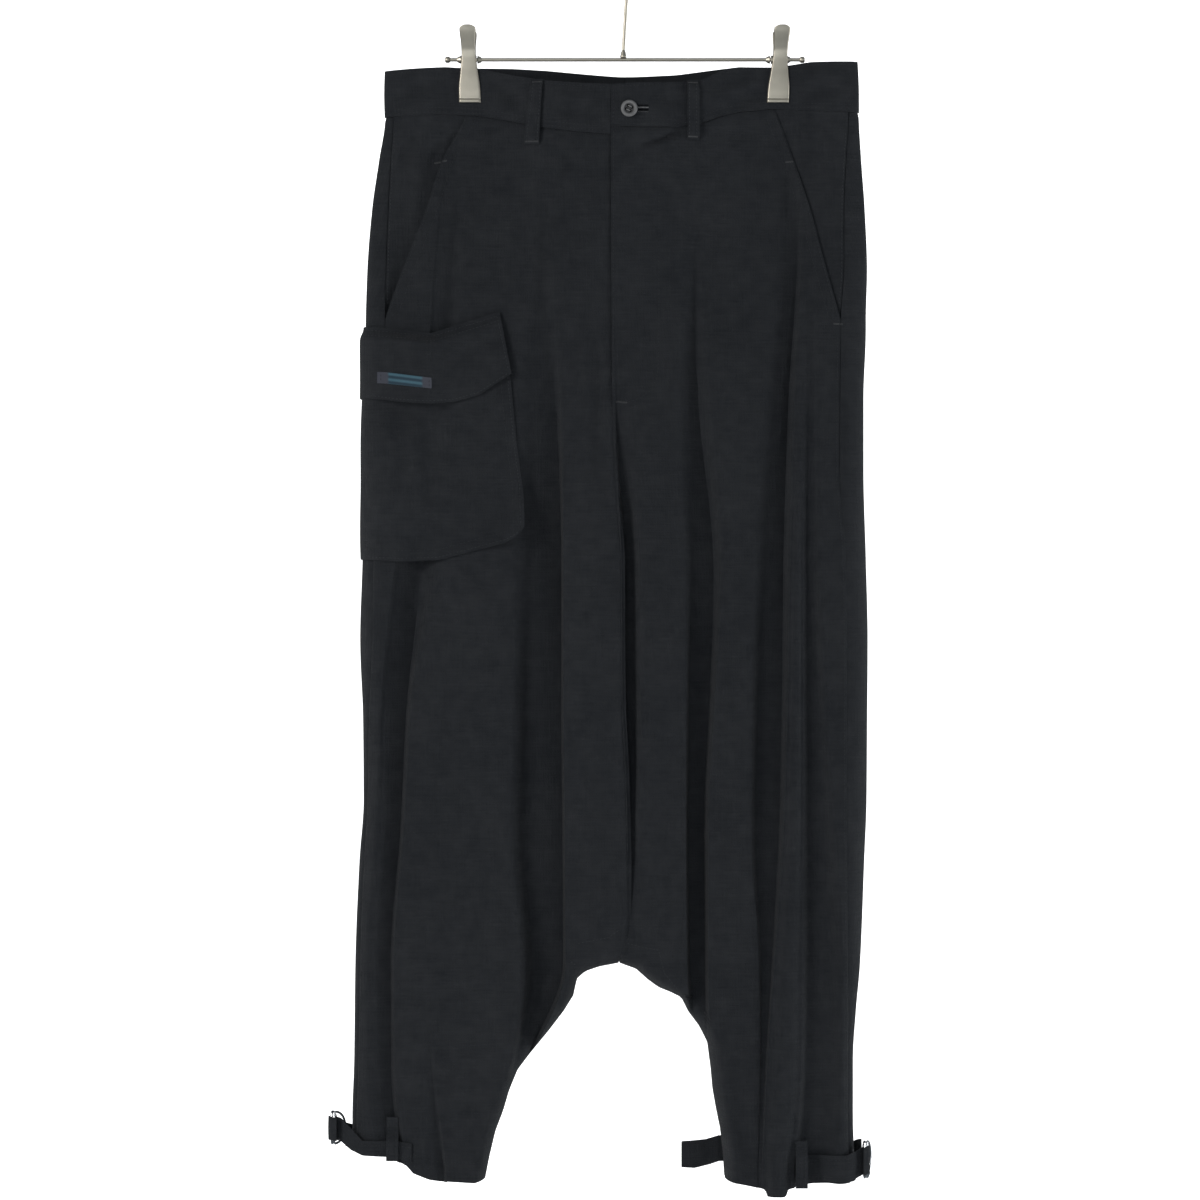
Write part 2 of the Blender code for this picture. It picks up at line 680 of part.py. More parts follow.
def buildCargoPocket(leg, cloth, woven):
    bag = pocketGrid(leg, bagEdge, lambda across: bagTop, lambda across: over(bagBottom, "drop", across), 8)
    full = np.sin(np.pi * np.linspace(0, 1, bag[0].shape[1]))[None, :]
    below = np.sin(np.pi * np.clip((bag[1] - 402) / 130, 0, 1))
    layOn("cargo_pocket", leg, *bag, bagLift + 1.6 * full * below, clothWall, cloth)
    flap = pocketGrid(leg, flapEdge, lambda across: over(flapTop, "drop", across),
                      lambda across: over(flapBottom, "drop", across), 6)
    flapLift = bagLift + clothWall + lieGap
    lifts = bagLift + (flapLift - bagLift) * ease((flap[1] - flap[1][:1]) / 8)
    layOn("cargo_flap", leg, *flap, lifts, clothWall, cloth)
    first, last = (leg.columnAt("front", across, 378) for across in (-209.5, -163.5))
    columns = np.array([leg.columnsBetween(first, last)] * 2)
    across = np.array([leg.at(column, 378)[0][0] for column in columns[0]])
    share = (across + 209.5) / 46
    drops = np.array([372 + 6 * share, 382 + 4.5 * share])
    layOn("flap_label", leg, columns, drops, flapLift + clothWall + lieGap, 1, woven)


def strip(name, points, tops, bottoms, wall, shader):
    # A standing strap along a path of (across, forward) points, with its wall half on each side.
    path = np.array(points, float)
    along = np.gradient(path, axis=0)
    aside = unit(np.stack([along[:, 1], -along[:, 0]], -1)) * wall / 2
    sheets = []
    for way in (1, -1):
        moved = path + aside * way
        sheets.append(np.stack([np.column_stack([moved, -np.array(drops)]) for drops in (tops, bottoms)]))
    return shell(name, sheets[0], sheets[1], shader)


def restOn(leg, column, drops, face):
    # How far forward a strap lies that stands against the cloth round this column.
    near = (column - 0.5, column, column + 0.5)
    depths = [leg.at(c, drop)[0][1] for c in near for drop in np.linspace(drops[0] - 4, drops[-1] + 4, 6)]
    clear = lieGap + strapWall / 2
    return min(depths) - clear if face == "front" else max(depths) + clear


def strapOnLeg(leg, face, fromAcross, toAcross, drops):
    halfway = sum(drops) / 2
    first = leg.columnAt(face, fromAcross, halfway)
    last = leg.columnAt(face, toAcross, halfway)
    columns = leg.columnsBetween(first, last)
    return [(leg.at(column, halfway)[0][0], restOn(leg, column, drops, face)) for column in columns]


# The short tabs: where each starts and leaves the cloth, where its fold round the rings begins, and how
# its top and bottom edges run across.
tabs = {
    "right": dict(start=-190, leave=-219, drops=(1012, 1031), fold=(-244.5, -17), swings=(75, 45),
                  topAt=((-246, 996.5), (-238, 998), (-229, 1006), (-219, 1016), (-190, 1016)),
                  bottomAt=((-246, 1016), (-238, 1017), (-229, 1026), (-219, 1032), (-190, 1034))),
    "left": dict(start=146, leave=186, drops=(1031, 1050), fold=(201, -14), swings=(110, 88),
                 topAt=((146, 1030), (184, 1029), (193, 1025), (202, 1019)),
                 bottomAt=((146, 1050), (184, 1049), (193, 1044.5), (202, 1038.5))),
}
foldRadius = ringWire / 2 + 0.4 + strapWall / 2
foldBack = 6


def buildRingTab(name, leg, cloth, metal):
    tab = tabs[name]
    path = strapOnLeg(leg, "front", tab["start"], tab["leave"], tab["drops"])
    fold = np.array(tab["fold"], float)
    ahead = unit(fold - path[-1])
    front = np.array([ahead[1], -ahead[0]]) * outward[name]
    path += [tuple(path[-1] + (fold - path[-1]) * share) for share in (0.4, 0.7)]
    for angle in np.linspace(0, math.pi, 7):
        path.append(tuple(fold + foldRadius * (front * (1 - math.cos(angle)) + ahead * math.sin(angle))))
    path.append(tuple(fold + 2 * foldRadius * front - ahead * foldBack))
    places = [point[0] for point in path]
    drops = [np.interp(places, *np.array(tab[key]).T) for key in ("topAt", "bottomAt")]
    strip(f"ring_tab_{name}", path, *drops, strapWall, cloth)
    # Each ring is a D whose bar lies in the fold. It has swung back behind the tab.
    end = 0 if name == "right" else -1
    top, bottom = tab["topAt"][end][1] - 3.5, tab["bottomAt"][end][1] + 3.5
    for i, swing in enumerate(tab["swings"]):
        bar = fold + foldRadius * front - ahead * i * (ringWire + 0.3)
        turn = math.radians(swing)
        away = np.array([-outward[name] * math.cos(turn), math.sin(turn)])
        high = (bottom - top) / 2
        points = [(*bar, -(top + 1.5)), (*bar, -(bottom - 1.5))]
        for angle in np.linspace(math.pi, 0, 11):
            reach = 1.2 + ringReach * math.sin(angle)
            points.append((*(bar + away * reach), -(top + high) + high * math.cos(angle)))
        wire(f"d_ring_{name}_{i + 1}", points, ringWire, metal, closed=True)
    return path


def buildHemStrap(name, leg, cloth):
    # From beside the rings behind the leg. The left one's free tip comes out at the inside.
    if name == "right":
        path = [(-236, 6), (-231, 14)] + strapOnLeg(leg, "back", -222, -134, (1016, 1037))
        tops, bottoms = ((-236, 1006), (-222, 1014), (-134, 1018)), ((-236, 1026), (-222, 1035), (-134, 1040))
    else:
        path = [(200, 8), (197, 16)] + strapOnLeg(leg, "back", 188, 92, (1026, 1047))
        path += [(80, 25), (70, 23.5), (59, 20), (48, 18)]
        tops = ((48, 1024), (69, 1023), (80, 1020), (92, 1022), (188, 1028), (200, 1020))
        bottoms = ((48, 1046), (59, 1047), (72, 1044.5), (80, 1042), (188, 1048), (200, 1040))
    places = [point[0] for point in path]
    drops = [np.interp(places, *np.array(sorted(rows)).T) for rows in (tops, bottoms)]
    strip(f"hem_strap_{name}", path, *drops, strapWall, cloth)
    return path


def buildHemLoop(name, face, leg, across, top, bottom, strap, strapPath, cloth):
    # A short loop over the strap, close to the cloth at its upper end.
    toward = -1 if face == "front" else 1
    path = np.array(sorted(strapPath[:-9] if face == "front" else strapPath))
    near = np.interp(np.linspace(across - 7, across + 7, 8), *path.T)
    above = (near * toward).max() + strapWall + lieGap
    rows = []
    for drop in (top, strap[0] - 8):
        rest = [leg.at(leg.columnAt(face, across + w, drop), drop)[0][1] * toward for w in (-5, 0, 5)]
        rows.append((drop, max(rest) + lieGap + clothWall / 2))
    rows += [(strap[0] - 1.5, above), ((strap[0] + strap[1]) / 2, above + 0.2), (bottom, above)]
    points = np.array(rows)
    slopes = unit(np.gradient(points, axis=0))
    sheets = []
    for way in (0.5, -0.5):
        drops = points[:, 0] - slopes[:, 1] * clothWall * way
        depths = (points[:, 1] + slopes[:, 0] * clothWall * way) * toward
        sheets.append(np.stack([np.column_stack([np.full(len(rows), across + w), depths, -drops])
                                for w in (-loopWidth / 2, loopWidth / 2)], 1))
    shell(f"hem_loop_{face}_{name}", *sheets, cloth)


def turned(name, profile, axis, centre, steps, shader):
    # A profile of (along the axis, radius) points turned about an axis through the centre.
    mesh = bpy.data.meshes.new(name)
    bm = bmesh.new()
    ahead = {"X": Vector((1, 0, 0)), "Y": Vector((0, 1, 0)), "Z": Vector((0, 0, 1))}[axis]
    up = Vector((0, 0, 1)) if axis != "Z" else Vector((1, 0, 0))
    spots = [bm.verts.new((ahead * along + up * radius) * mm) for along, radius in profile]
    for first, second in zip(spots, spots[1:]):
        bm.edges.new((first, second))
    bmesh.ops.spin(bm, geom=bm.verts[:] + bm.edges[:], axis=ahead, cent=(0, 0, 0), angle=2 * math.pi,
                   steps=steps, use_merge=True)
    bmesh.ops.remove_doubles(bm, verts=bm.verts, dist=0.00001)
    bmesh.ops.recalc_face_normals(bm, faces=bm.faces)
    bm.to_mesh(mesh)
    bm.free()
    mesh.shade_smooth()
    mesh.set_sharp_from_angle(angle=math.radians(40))
    made = keep(name, mesh, shader)
    made.location = Vector(centre) * mm
    return made


def buildButton(shader):
    # A turned button with a sunk middle and four holes. It lies on the left end of the waistband.
    across, drop = 3.4, 150.4
    out = float(clothDepth("left", "front", np.array(across), np.array(drop))) - bandProud - 0.35
    radius = buttonWidth / 2
    profile = [(0, 0), (-0.2, radius - 1.2), (-1.2, radius), (-2.2, radius - 0.3), (-2.8, radius - 1.3),
               (-2.5, radius - 2.5), (-1.7, radius - 3.3), (-1.7, 0)]
    button = turned("waist_button", profile, "Y", (across, out, -drop), 24, shader)
    bm = bmesh.new()
    for i in range(4):
        angle = math.radians(45 + 90 * i)
        spot = Vector((1.7 * math.cos(angle), -1, 1.7 * math.sin(angle))) * mm
        bmesh.ops.create_cone(bm, segments=8, radius1=0.8 * mm, radius2=0.8 * mm, depth=9 * mm, cap_ends=True,
                              matrix=Matrix.Translation(spot) @ Matrix.Rotation(math.pi / 2, 4, "X"))
    mesh = bpy.data.meshes.new("button_holes")
    bm.to_mesh(mesh)
    bm.free()
    cutter = bpy.data.objects.new("button_holes", mesh)
    cutter.location = button.location
    cutter.hide_render = True
    cutter.display_type = "WIRE"
    bpy.data.collections[cutterSet].objects.link(cutter)
    cut = button.modifiers.new("holes", "BOOLEAN")
    cut.operation = "DIFFERENCE"
    cut.object = cutter


def buildHanger(metal):
    # The rod with a knob at each end and a collar on each side of each clip, all one turned piece.
    radius = rodWidth / 2
    half = 151.5
    profile = [(-half, 0), (-half, 1.6), (-half + 1, 2.6), (-half + 3.5, 2.6), (-half + 4.5, radius)]
    for clip in clipAcross:
        for way in (-1, 1):
            at = clip + way * 10.5
            profile += [(at - 1.5, radius), (at - 1.5, 3.4), (at + 1.5, 3.4), (at + 1.5, radius)]
    profile += [(half - 4.5, radius), (half - 3.5, 2.6), (half - 1, 2.6), (half, 1.6), (half, 0)]
    turned("hanger_rod", profile, "X", (0, 0, -rodDrop), 12, metal)
    foot = [(0, 0), (0, 3.2), (5, 2.6), (5.6, 0)]
    turned("hook_foot", foot, "Z", (-1.3, 0, -rodDrop + radius + 0.3), 12, metal)
    wireRadius = 1.4
    centre = Vector((0, 0, -hookRadius))
    points = [Vector((-1.3, 0, -rodDrop + radius + 6.3)), Vector((0.2, 0, -76)), Vector((0.9, 0, -64))]
    points += [Vector((2, 0, -56)), Vector((5.5, 0, -49.5)), Vector((10.5, 0, -44.3))]
    for angle in np.linspace(-58, 196, 20):
        turn = math.radians(angle)
        points.append(centre + Vector((math.cos(turn), 0, math.sin(turn))) * (hookRadius + wireRadius))
    wire("hanger_hook", points, 2 * wireRadius, metal)


# The clips' jaws from the top down: half the width, and how far the inner face stands from the middle.
jaw = table(
    "drop half away",
    (83.5, 5.2, 12.8), (85.5, 6.7, 12), (91, 6.6, 9.8), (98, 6.1, 6.8), (104, 6, 4.6), (110, 6.1, 4),
    (117, 6.9, 4), (126, 8.3, 4.3), (134, 8.9, 4.3), (141, 8.9, 4), (146.5, 8.5, 4))


def buildClips(metal):
    barrel = [(-6, 1.85), (-6, 3.6), (6, 3.6), (6, 1.85), (-6, 1.85)]
    leans = {"right": (-132.2, -130.4), "left": (132, 128.6)}
    for name, (topAcross, bottomAcross) in leans.items():
        clip = clipAcross[0] if name == "right" else clipAcross[1]
        turned(f"clip_barrel_{name}", barrel, "X", (clip, 0, -rodDrop), 12, metal)
        for face, toward in (("front", -1), ("back", 1)):
            share = (jaw["drop"] - jaw["drop"][0]) / np.ptp(jaw["drop"])
            centre = topAcross + (bottomAcross - topAcross) * share
            sheets = []
            for away in (jawWall, 0):
                bow = np.array([-0.5, 0, -0.5]) * bool(away)
                across = centre[:, None] + jaw["half"][:, None] * np.array([-1, 0, 1])
                depth = toward * (jaw["away"][:, None] + away + bow)
                height = np.broadcast_to(-jaw["drop"][:, None], across.shape)
                sheets.append(np.stack([across, depth, height], -1))
            shell(f"clip_{name}_{face}", *sheets, metal)


def clear():
    for each in list(bpy.data.objects):
        bpy.data.objects.remove(each, do_unlink=True)


def main():
    clear()
    for group in (setName, cutterSet):
        bpy.context.scene.collection.children.link(bpy.data.collections.new(group))
    cloth = material("charcoal_twill", (0.018, 0.019, 0.021), 0.85)
    woven = material("navy_tape", (0.012, 0.025, 0.06), 0.7)
    plastic = material("grey_button", (0.12, 0.12, 0.12), 0.35)
    steel = material("satin_nickel", (0.55, 0.5, 0.43), 0.35, 1.0)
    bright = material("bright_steel", (0.6, 0.6, 0.62), 0.25, 1.0)
    legs = buildPanels(cloth)
    buildHipPieces(cloth)
    buildUnderlap(cloth)
    buildWaistband(cloth)
    buildBeltLoops(cloth)
    buildButton(plastic)
    buildCargoPocket(legs["right"], cloth, woven)
    tabPaths = {name: buildRingTab(name, leg, cloth, bright) for name, leg in legs.items()}
    strapPaths = {name: buildHemStrap(name, leg, cloth) for name, leg in legs.items()}
    buildHemLoop("right", "front", legs["right"], -194, 996, 1037, (1016, 1034), tabPaths["right"], cloth)
    buildHemLoop("left", "front", legs["left"], 149.5, 1016, 1055, (1030, 1050), tabPaths["left"], cloth)
    buildHemLoop("right", "back", legs["right"], -180, 1000, 1043, (1017, 1039), strapPaths["right"], cloth)
    buildHemLoop("left", "back", legs["left"], 120, 1008, 1052, (1025, 1048), strapPaths["left"], cloth)
    buildHanger(steel)
    buildClips(steel)


main()
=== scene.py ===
# Drop-crotch trousers hung by the waistband from a metal hanger with two clips.
# Sizes in the tables are millimetres: "across" is x, "drop" is the distance below the crown of the hook.
import math

import bmesh
import bpy
import numpy as np
from mathutils import Matrix, Vector
from mathutils.bvhtree import BVHTree


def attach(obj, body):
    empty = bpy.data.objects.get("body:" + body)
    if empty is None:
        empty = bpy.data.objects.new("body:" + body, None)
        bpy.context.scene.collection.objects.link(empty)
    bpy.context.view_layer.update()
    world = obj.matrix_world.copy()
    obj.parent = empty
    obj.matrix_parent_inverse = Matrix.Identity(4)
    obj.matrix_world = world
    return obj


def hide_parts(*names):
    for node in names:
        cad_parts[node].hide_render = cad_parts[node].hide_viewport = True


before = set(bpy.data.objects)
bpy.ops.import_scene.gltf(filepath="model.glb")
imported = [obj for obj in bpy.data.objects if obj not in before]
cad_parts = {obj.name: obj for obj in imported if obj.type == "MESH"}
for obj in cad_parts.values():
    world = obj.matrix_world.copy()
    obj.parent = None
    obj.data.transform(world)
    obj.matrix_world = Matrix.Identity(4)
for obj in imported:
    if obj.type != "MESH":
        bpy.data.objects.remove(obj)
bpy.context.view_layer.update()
mm = 0.001

# Camera, soft light and a white room

def added(name, data):
    made = bpy.data.objects.new(name, data)
    bpy.context.scene.collection.objects.link(made)
    return made


def finished(name, mesh, sharp=50):
    mesh.shade_smooth()
    mesh.set_sharp_from_angle(angle=math.radians(sharp))
    return added(name, mesh)


def keep(name, bm, sharp=50):
    mesh = bpy.data.meshes.new(name)
    bm.to_mesh(mesh)
    bm.free()
    return finished(name, mesh, sharp)


view = {"place": (-0.021, -2.6, -0.565), "lens": 92.6}
camera = added("camera", bpy.data.cameras.new("camera"))
camera.data.lens = view["lens"]
camera.location = view["place"]
camera.rotation_euler = (math.pi / 2, 0, 0)
bpy.context.scene.camera = camera

lights = {  # place, target, size, power, colour
    "keyLight": ((-2.4, -2.0, 0.45), (0, 0, -0.65), (0.9, 1.3), 80, (1, 0.985, 0.96)),
    "frontLight": ((-0.2, -3.4, -0.7), (0, 0, -0.75), (1.4, 1.4), 21, (0.92, 0.97, 1)),
    "sideLight": ((2.7, -0.35, -0.6), (0, 0, -0.65), (1.0, 1.8), 56, (0.95, 0.98, 1)),
}
for name, (spot, target, size, power, colour) in lights.items():
    lamp = added(name, bpy.data.lights.new(name, "AREA"))
    lamp.data.shape = "RECTANGLE"
    lamp.data.size, lamp.data.size_y = size
    lamp.data.energy, lamp.data.color = power, colour
    lamp.location = spot
    lamp.rotation_euler = (Vector(target) - Vector(spot)).to_track_quat("-Z", "Y").to_euler()

# The pale floor curves up into a wall, far enough behind for a view of the back to be taken in front of it
room = {"front": -3.5, "behind": 4.6, "floor": -1.42, "round": 2.0, "tall": 9.0, "near": 4.0, "far": 14.0,
        "white": 1.0, "sky": 0.17, "skyColour": (0.78, 0.9, 1, 1)}
world = bpy.data.worlds.new("softRoom")
bpy.context.scene.world = world
world.use_nodes = True
sky = world.node_tree.nodes["Background"].inputs
sky["Color"].default_value, sky["Strength"].default_value = room["skyColour"], room["sky"]
bpy.context.scene.view_settings.view_transform = "Standard"
bm = bmesh.new()
bmesh.ops.create_grid(bm, x_segments=1, y_segments=40, size=1)
for vert in bm.verts:
    thirds = (vert.co.y + 1) / 2 * 3  # along the floor, round the curve and up the wall
    turn = min(max(thirds - 1, 0), 1) * math.pi / 2
    near = min(thirds, 1)
    y = room["front"] + (room["behind"] - room["round"] - room["front"]) * near + room["round"] * math.sin(turn)
    z = room["floor"] + room["round"] * (1 - math.cos(turn)) + room["tall"] * max(thirds - 2, 0)
    vert.co = (vert.co.x * (room["near"] + (room["far"] - room["near"]) * near ** 3), y, z)
bmesh.ops.recalc_face_normals(bm, faces=bm.faces)
floor = keep("paleFloor", bm)
paint = bpy.data.materials.new("paleFloor")
paint.use_nodes = True
inputs = paint.node_tree.nodes["Principled BSDF"].inputs
inputs["Base Color"].default_value = (0.8, 0.8, 0.8, 1)
inputs["Roughness"].default_value = 0.9
inputs["Emission Color"].default_value = (1, 1, 1, 1)
inputs["Emission Strength"].default_value = room["white"]
paint.cycles.emission_sampling = "NONE"
floor.data.materials.append(paint)
floor.visible_glossy = False


# Shader maths as Python

class Value:
    def __init__(self, maker, socket):
        self.maker = maker
        self.socket = socket

    def maths(self, operation, *others):
        return self.maker.node("ShaderNodeMath", {"operation": operation}, dict(enumerate((self, *others))))

    def __add__(self, other):
        return self.maths("ADD", other)

    def __sub__(self, other):
        return self.maths("SUBTRACT", other)

    def __rsub__(self, other):
        return self.maker.node("ShaderNodeMath", {"operation": "SUBTRACT"}, {0: other, 1: self})

    def __mul__(self, other):
        return self.maths("MULTIPLY", other)

    __radd__ = __add__
    __rmul__ = __mul__


class Finish:
    def __init__(self, name):
        self.material = bpy.data.materials.new(name)
        self.material.use_nodes = True
        self.tree = self.material.node_tree
        self.shader = self.tree.nodes["Principled BSDF"]

    def node(self, kind, settings=None, sockets=None, out=0):
        made = self.tree.nodes.new(kind)
        for key, value in (settings or {}).items():
            if key == "stops":
                ramp = made.color_ramp.elements
                while len(ramp) < len(value):
                    ramp.new(0.5)
                for element, (place, shade) in zip(ramp, value):
                    element.position = place
                    element.color = (shade, shade, shade, 1)
            else:
                setattr(made, key, value)
        for key, value in (sockets or {}).items():
            self.feed(made.inputs[key], value)
        return Value(self, made.outputs[out])

    def feed(self, socket, value):
        if isinstance(value, Value):
            self.tree.links.new(value.socket, socket)
        else:
            socket.default_value = value

    def surface(self, **values):
        names = {"colour": "Base Color", "sheen": "Sheen Weight", "sheenRoughness": "Sheen Roughness",
                 "specular": "Specular IOR Level"}
        for key, value in values.items():
            self.feed(self.shader.inputs[names.get(key, key.capitalize())], value)
        return self.material

    def clothPlace(self):
        return self.node("ShaderNodeUVMap", {"uv_map": "cloth"})

    def objectPlace(self):
        return self.node("ShaderNodeTexCoord", out="Object")

    def parts(self, place):
        first = self.node("ShaderNodeSeparateXYZ", None, {0: place})
        return first, Value(self, first.socket.node.outputs[1])

    def scaled(self, place, scale):
        return self.node("ShaderNodeVectorMath", {"operation": "MULTIPLY"}, {0: place, 1: scale})

    def noise(self, place, scale, detail=2.0, roughness=0.5):
        return self.node("ShaderNodeTexNoise", None,
                         {"Vector": place, "Scale": scale, "Detail": detail, "Roughness": roughness})

    def ramp(self, value, *stops):
        return self.node("ShaderNodeValToRGB", {"stops": stops}, {"Fac": value})

    def mixed(self, share, first, second):
        return self.node("ShaderNodeMix", {"data_type": "RGBA"}, {0: share, 6: first, 7: second}, out=2)

    def bump(self, height, distance, strength=1.0):
        return self.node("ShaderNodeBump", None, {"Height": height, "Distance": distance, "Strength": strength})


def toned(colour, share):
    return tuple(min(1, share * part) for part in colour[:3]) + (1,)


def clothFinish(name, dark, light, thread, weaveDepth):
    # A fine twill: diagonal ribs, threads that thicken in places both ways, and a dye that isn't quite even.
    finish = Finish(name)
    place = finish.clothPlace()
    u, v = finish.parts(place)
    turn = 2 * math.pi / thread

    def patches(scale, low, high, detail=3.0):
        return finish.ramp(finish.noise(finish.scaled(place, scale), 1.0, detail, 0.6), (low, 0), (high, 1))

    rib = ((u * 0.8 + v) * turn).maths("SINE")
    warp = (u * (turn * 1.9)).maths("SINE")
    slub = patches((560, 48, 1), 0.36, 0.66)
    cross = patches((42, 640, 1), 0.36, 0.66)
    blotch = patches((75, 75, 1), 0.34, 0.66)
    broad = patches((15, 11, 1), 0.36, 0.64)
    speck = patches((760, 760, 1), 0.70, 0.78, 1.0)
    share = slub * 0.27 + cross * 0.25 + blotch * 0.26 + broad * 0.18 + rib * 0.04
    colour = finish.mixed(speck * 0.3, finish.mixed(share, dark, light), toned(light, 2.4))
    height = rib * 0.3 + warp * 0.12 + slub * 0.8 + cross * 0.7 + blotch * 0.5
    return finish.surface(colour=colour, roughness=0.76 + slub * 0.18, sheen=0.03, sheenRoughness=0.45,
                          specular=0.11, normal=finish.bump(height, weaveDepth))


def metalFinish(name, colour, roughness, grain, depth):
    finish = Finish(name)
    place = finish.objectPlace()
    brushed = finish.noise(finish.scaled(place, grain), 1.0, 3.0, 0.65)
    wear = finish.noise(place, 130.0, 3.0)
    return finish.surface(colour=finish.mixed(wear, toned(colour, 0.88), toned(colour, 1.08)), metallic=1.0,
                          roughness=roughness + brushed * 0.16 - 0.05, normal=finish.bump(brushed, depth, 0.5))


def tapeFinish(name, start, wide, slope, pitch):
    # Navy tape woven with thin plain lighter lines between its turned ends.
    finish = Finish(name)
    u, v = finish.parts(finish.clothPlace())
    along = (u - start) * (1 / wide)
    lines = finish.ramp(((v + along * slope) * (2 * math.pi / pitch)).maths("SINE") * 0.5 + 0.5, (0.2, 0), (0.95, 1))
    ends = finish.ramp(along, (0.15, 0), (0.19, 1), (0.82, 1), (0.86, 0))
    rib = (u * (2 * math.pi / 0.0006)).maths("SINE")
    woven = finish.mixed(lines, (0.008, 0.024, 0.038, 1), (0.03, 0.075, 0.1, 1))
    return finish.surface(colour=finish.mixed(ends, (0.03, 0.032, 0.043, 1), woven), roughness=0.7, specular=0.25,
                          normal=finish.bump(rib, 0.0001))


def plasticFinish(name, across, drop, well):
    # Grey marbled plastic. Its sunk well is painted darker: painted shade of the recess.
    finish = Finish(name)
    place = finish.objectPlace()
    grain = finish.noise(place, 260.0, 4.0, 0.6)
    away = finish.node("ShaderNodeVectorMath", {"operation": "SUBTRACT"}, {0: place, 1: (across * mm, 0, -drop * mm)})
    reach = finish.node("ShaderNodeVectorMath", {"operation": "LENGTH"}, {0: finish.scaled(away, (1, 0, 1))}, out=1)
    # Within the well's radius the colour turns dark: painted shade of the sunk well.
    rim = finish.ramp(reach * (100 / well), (0.088, 0), (0.104, 1))
    colour = finish.mixed(rim, (0.021, 0.0215, 0.0225, 1),
                          finish.mixed(grain, (0.055, 0.056, 0.057, 1), (0.11, 0.11, 0.112, 1)))
    return finish.surface(colour=colour, roughness=0.5 + grain * 0.2, specular=0.3, normal=finish.bump(grain, 0.0001))


def threadFinish(name, colour, gloss=0.18):
    finish = Finish(name)
    twist = finish.noise(finish.scaled(finish.objectPlace(), (1800, 1800, 1800)), 1.0, 2.0)
    return finish.surface(colour=finish.mixed(twist, toned(colour, 0.7), toned(colour, 1.3)),
                          roughness=0.6 + twist * 0.2, specular=gloss, normal=finish.bump(twist, 0.0001))


twill = clothFinish("charcoalTwill", (0.0052, 0.0063, 0.0082, 1), (0.0158, 0.0168, 0.0188, 1), 0.0011, 0.00024)
nickel = metalFinish("satinNickel", (0.50, 0.46, 0.385), 0.46, (900, 900, 60), 0.00004)
steel = metalFinish("brightSteel", (0.62, 0.62, 0.63), 0.2, (500, 500, 500), 0.00003)
blackThread = threadFinish("blackThread", (0.013, 0.0142, 0.0165))
# A slightly lighter thread; on the belt loops it is also painted highlight for their lit edges.
slateThreadAndHighlight = threadFinish("slateThreadAndHighlight", (0.021, 0.0225, 0.025))
greyThread = threadFinish("greyThread", (0.036, 0.037, 0.039))
paleThread = threadFinish("paleThread", (0.10, 0.101, 0.103))
# A near-black finish that is painted shade: the button's holes and the buttonhole's rim and slit lines.
paintedHoleShade = threadFinish("paintedHoleShade", (0.0006, 0.0006, 0.0006), 0.01)
print("materials and light done")


# The garment's own shape

def table(names, *rows):
    return dict(zip(names.split(), np.array(rows, float).T))


clothWall = 0.75
bandWall = 2.0
seamGap = 0.3
rodDrop = 110
clipAcross = (-131, 129)
clipPinch = 3.2
pocketEndDrop = 330
bandSeam = 170
crotchDrop = 870
loopWidth = 10
loopWall = 0.9
bandProud = 0.4
flyAcross = -12
outward = {"right": -1, "left": 1}  # on x, from the middle to the side
facing = {"front": -1, "back": 1}  # on y, out of the cloth

outline = {
    "right": table(
        "drop edge sideSeam",
        (115, -202, -195), (159, -202, -195), (194, -207, -197), (236, -213, -199), (287, -217, -200.5),
        (337, -218.5, -201), (396, -219, -204.5), (455, -219.5, -207), (531, -221, -211), (598, -223, -212),
        (666, -220.5, -215.5), (733, -220, -217), (784, -223.5, -219.5), (870, -227, -223),
        (952, -228, -224.5), (1000, -229.5, -226), (1060, -229, -225.5)),
    "left": table(
        "drop edge sideSeam",
        (105, 195.5, 188), (159, 197, 188), (194, 199, 186), (236, 202, 184), (287, 204, 183.5),
        (330, 203, 180.5), (337, 203, 180.5), (396, 201, 179.5), (455, 201, 179), (531, 203, 184), (598, 204.5, 185),
        (666, 204, 185), (733, 203.5, 185), (784, 201.5, 185.5), (870, 198, 186.5), (910, 194.5, 187.5),
        (952, 192, 187.5), (1000, 192, 187.5), (1060, 195, 190)),
}
middle = table(
    "drop front back half round",
    (105, -12, 0, 8, 7), (159, -12, 0, 9, 7), (236, -12, 0, 14, 11), (337, -11.5, 1, 20, 16),
    (455, -10, 2, 24, 20), (480, -8, 2, 25, 21), (531, -4, 2, 27, 22), (598, -3.7, 2, 29, 24),
    (649, -3.2, 1.2, 30, 24), (700, -0.8, 0.6, 30, 24), (757, 1, 0.2, 31, 24), (784, 1.5, 0, 31, 24),
    (842, 1, -2, 31, 24), (870, -5, -5, 30, 24), (960, -5, -5, 29, 24), (1060, -5, -5, 27, 22))
insideLeg = {
    "right": table(
        "across drop",
        (-5, 870), (-21, 873), (-33, 877), (-40, 883), (-43, 897), (-51, 910), (-64, 927), (-78, 944),
        (-90, 960), (-97, 977), (-102, 994), (-108.5, 1011), (-113.5, 1032), (-117, 1050)),
    "left": table(
        "across drop",
        (-5, 870), (9, 875), (19, 884), (28, 890.5), (38, 894.5), (47, 899), (53, 911), (62, 923),
        (69, 937), (72, 960), (73.5, 977), (76.5, 994), (80, 1011), (82, 1028), (83.5, 1050)),
}
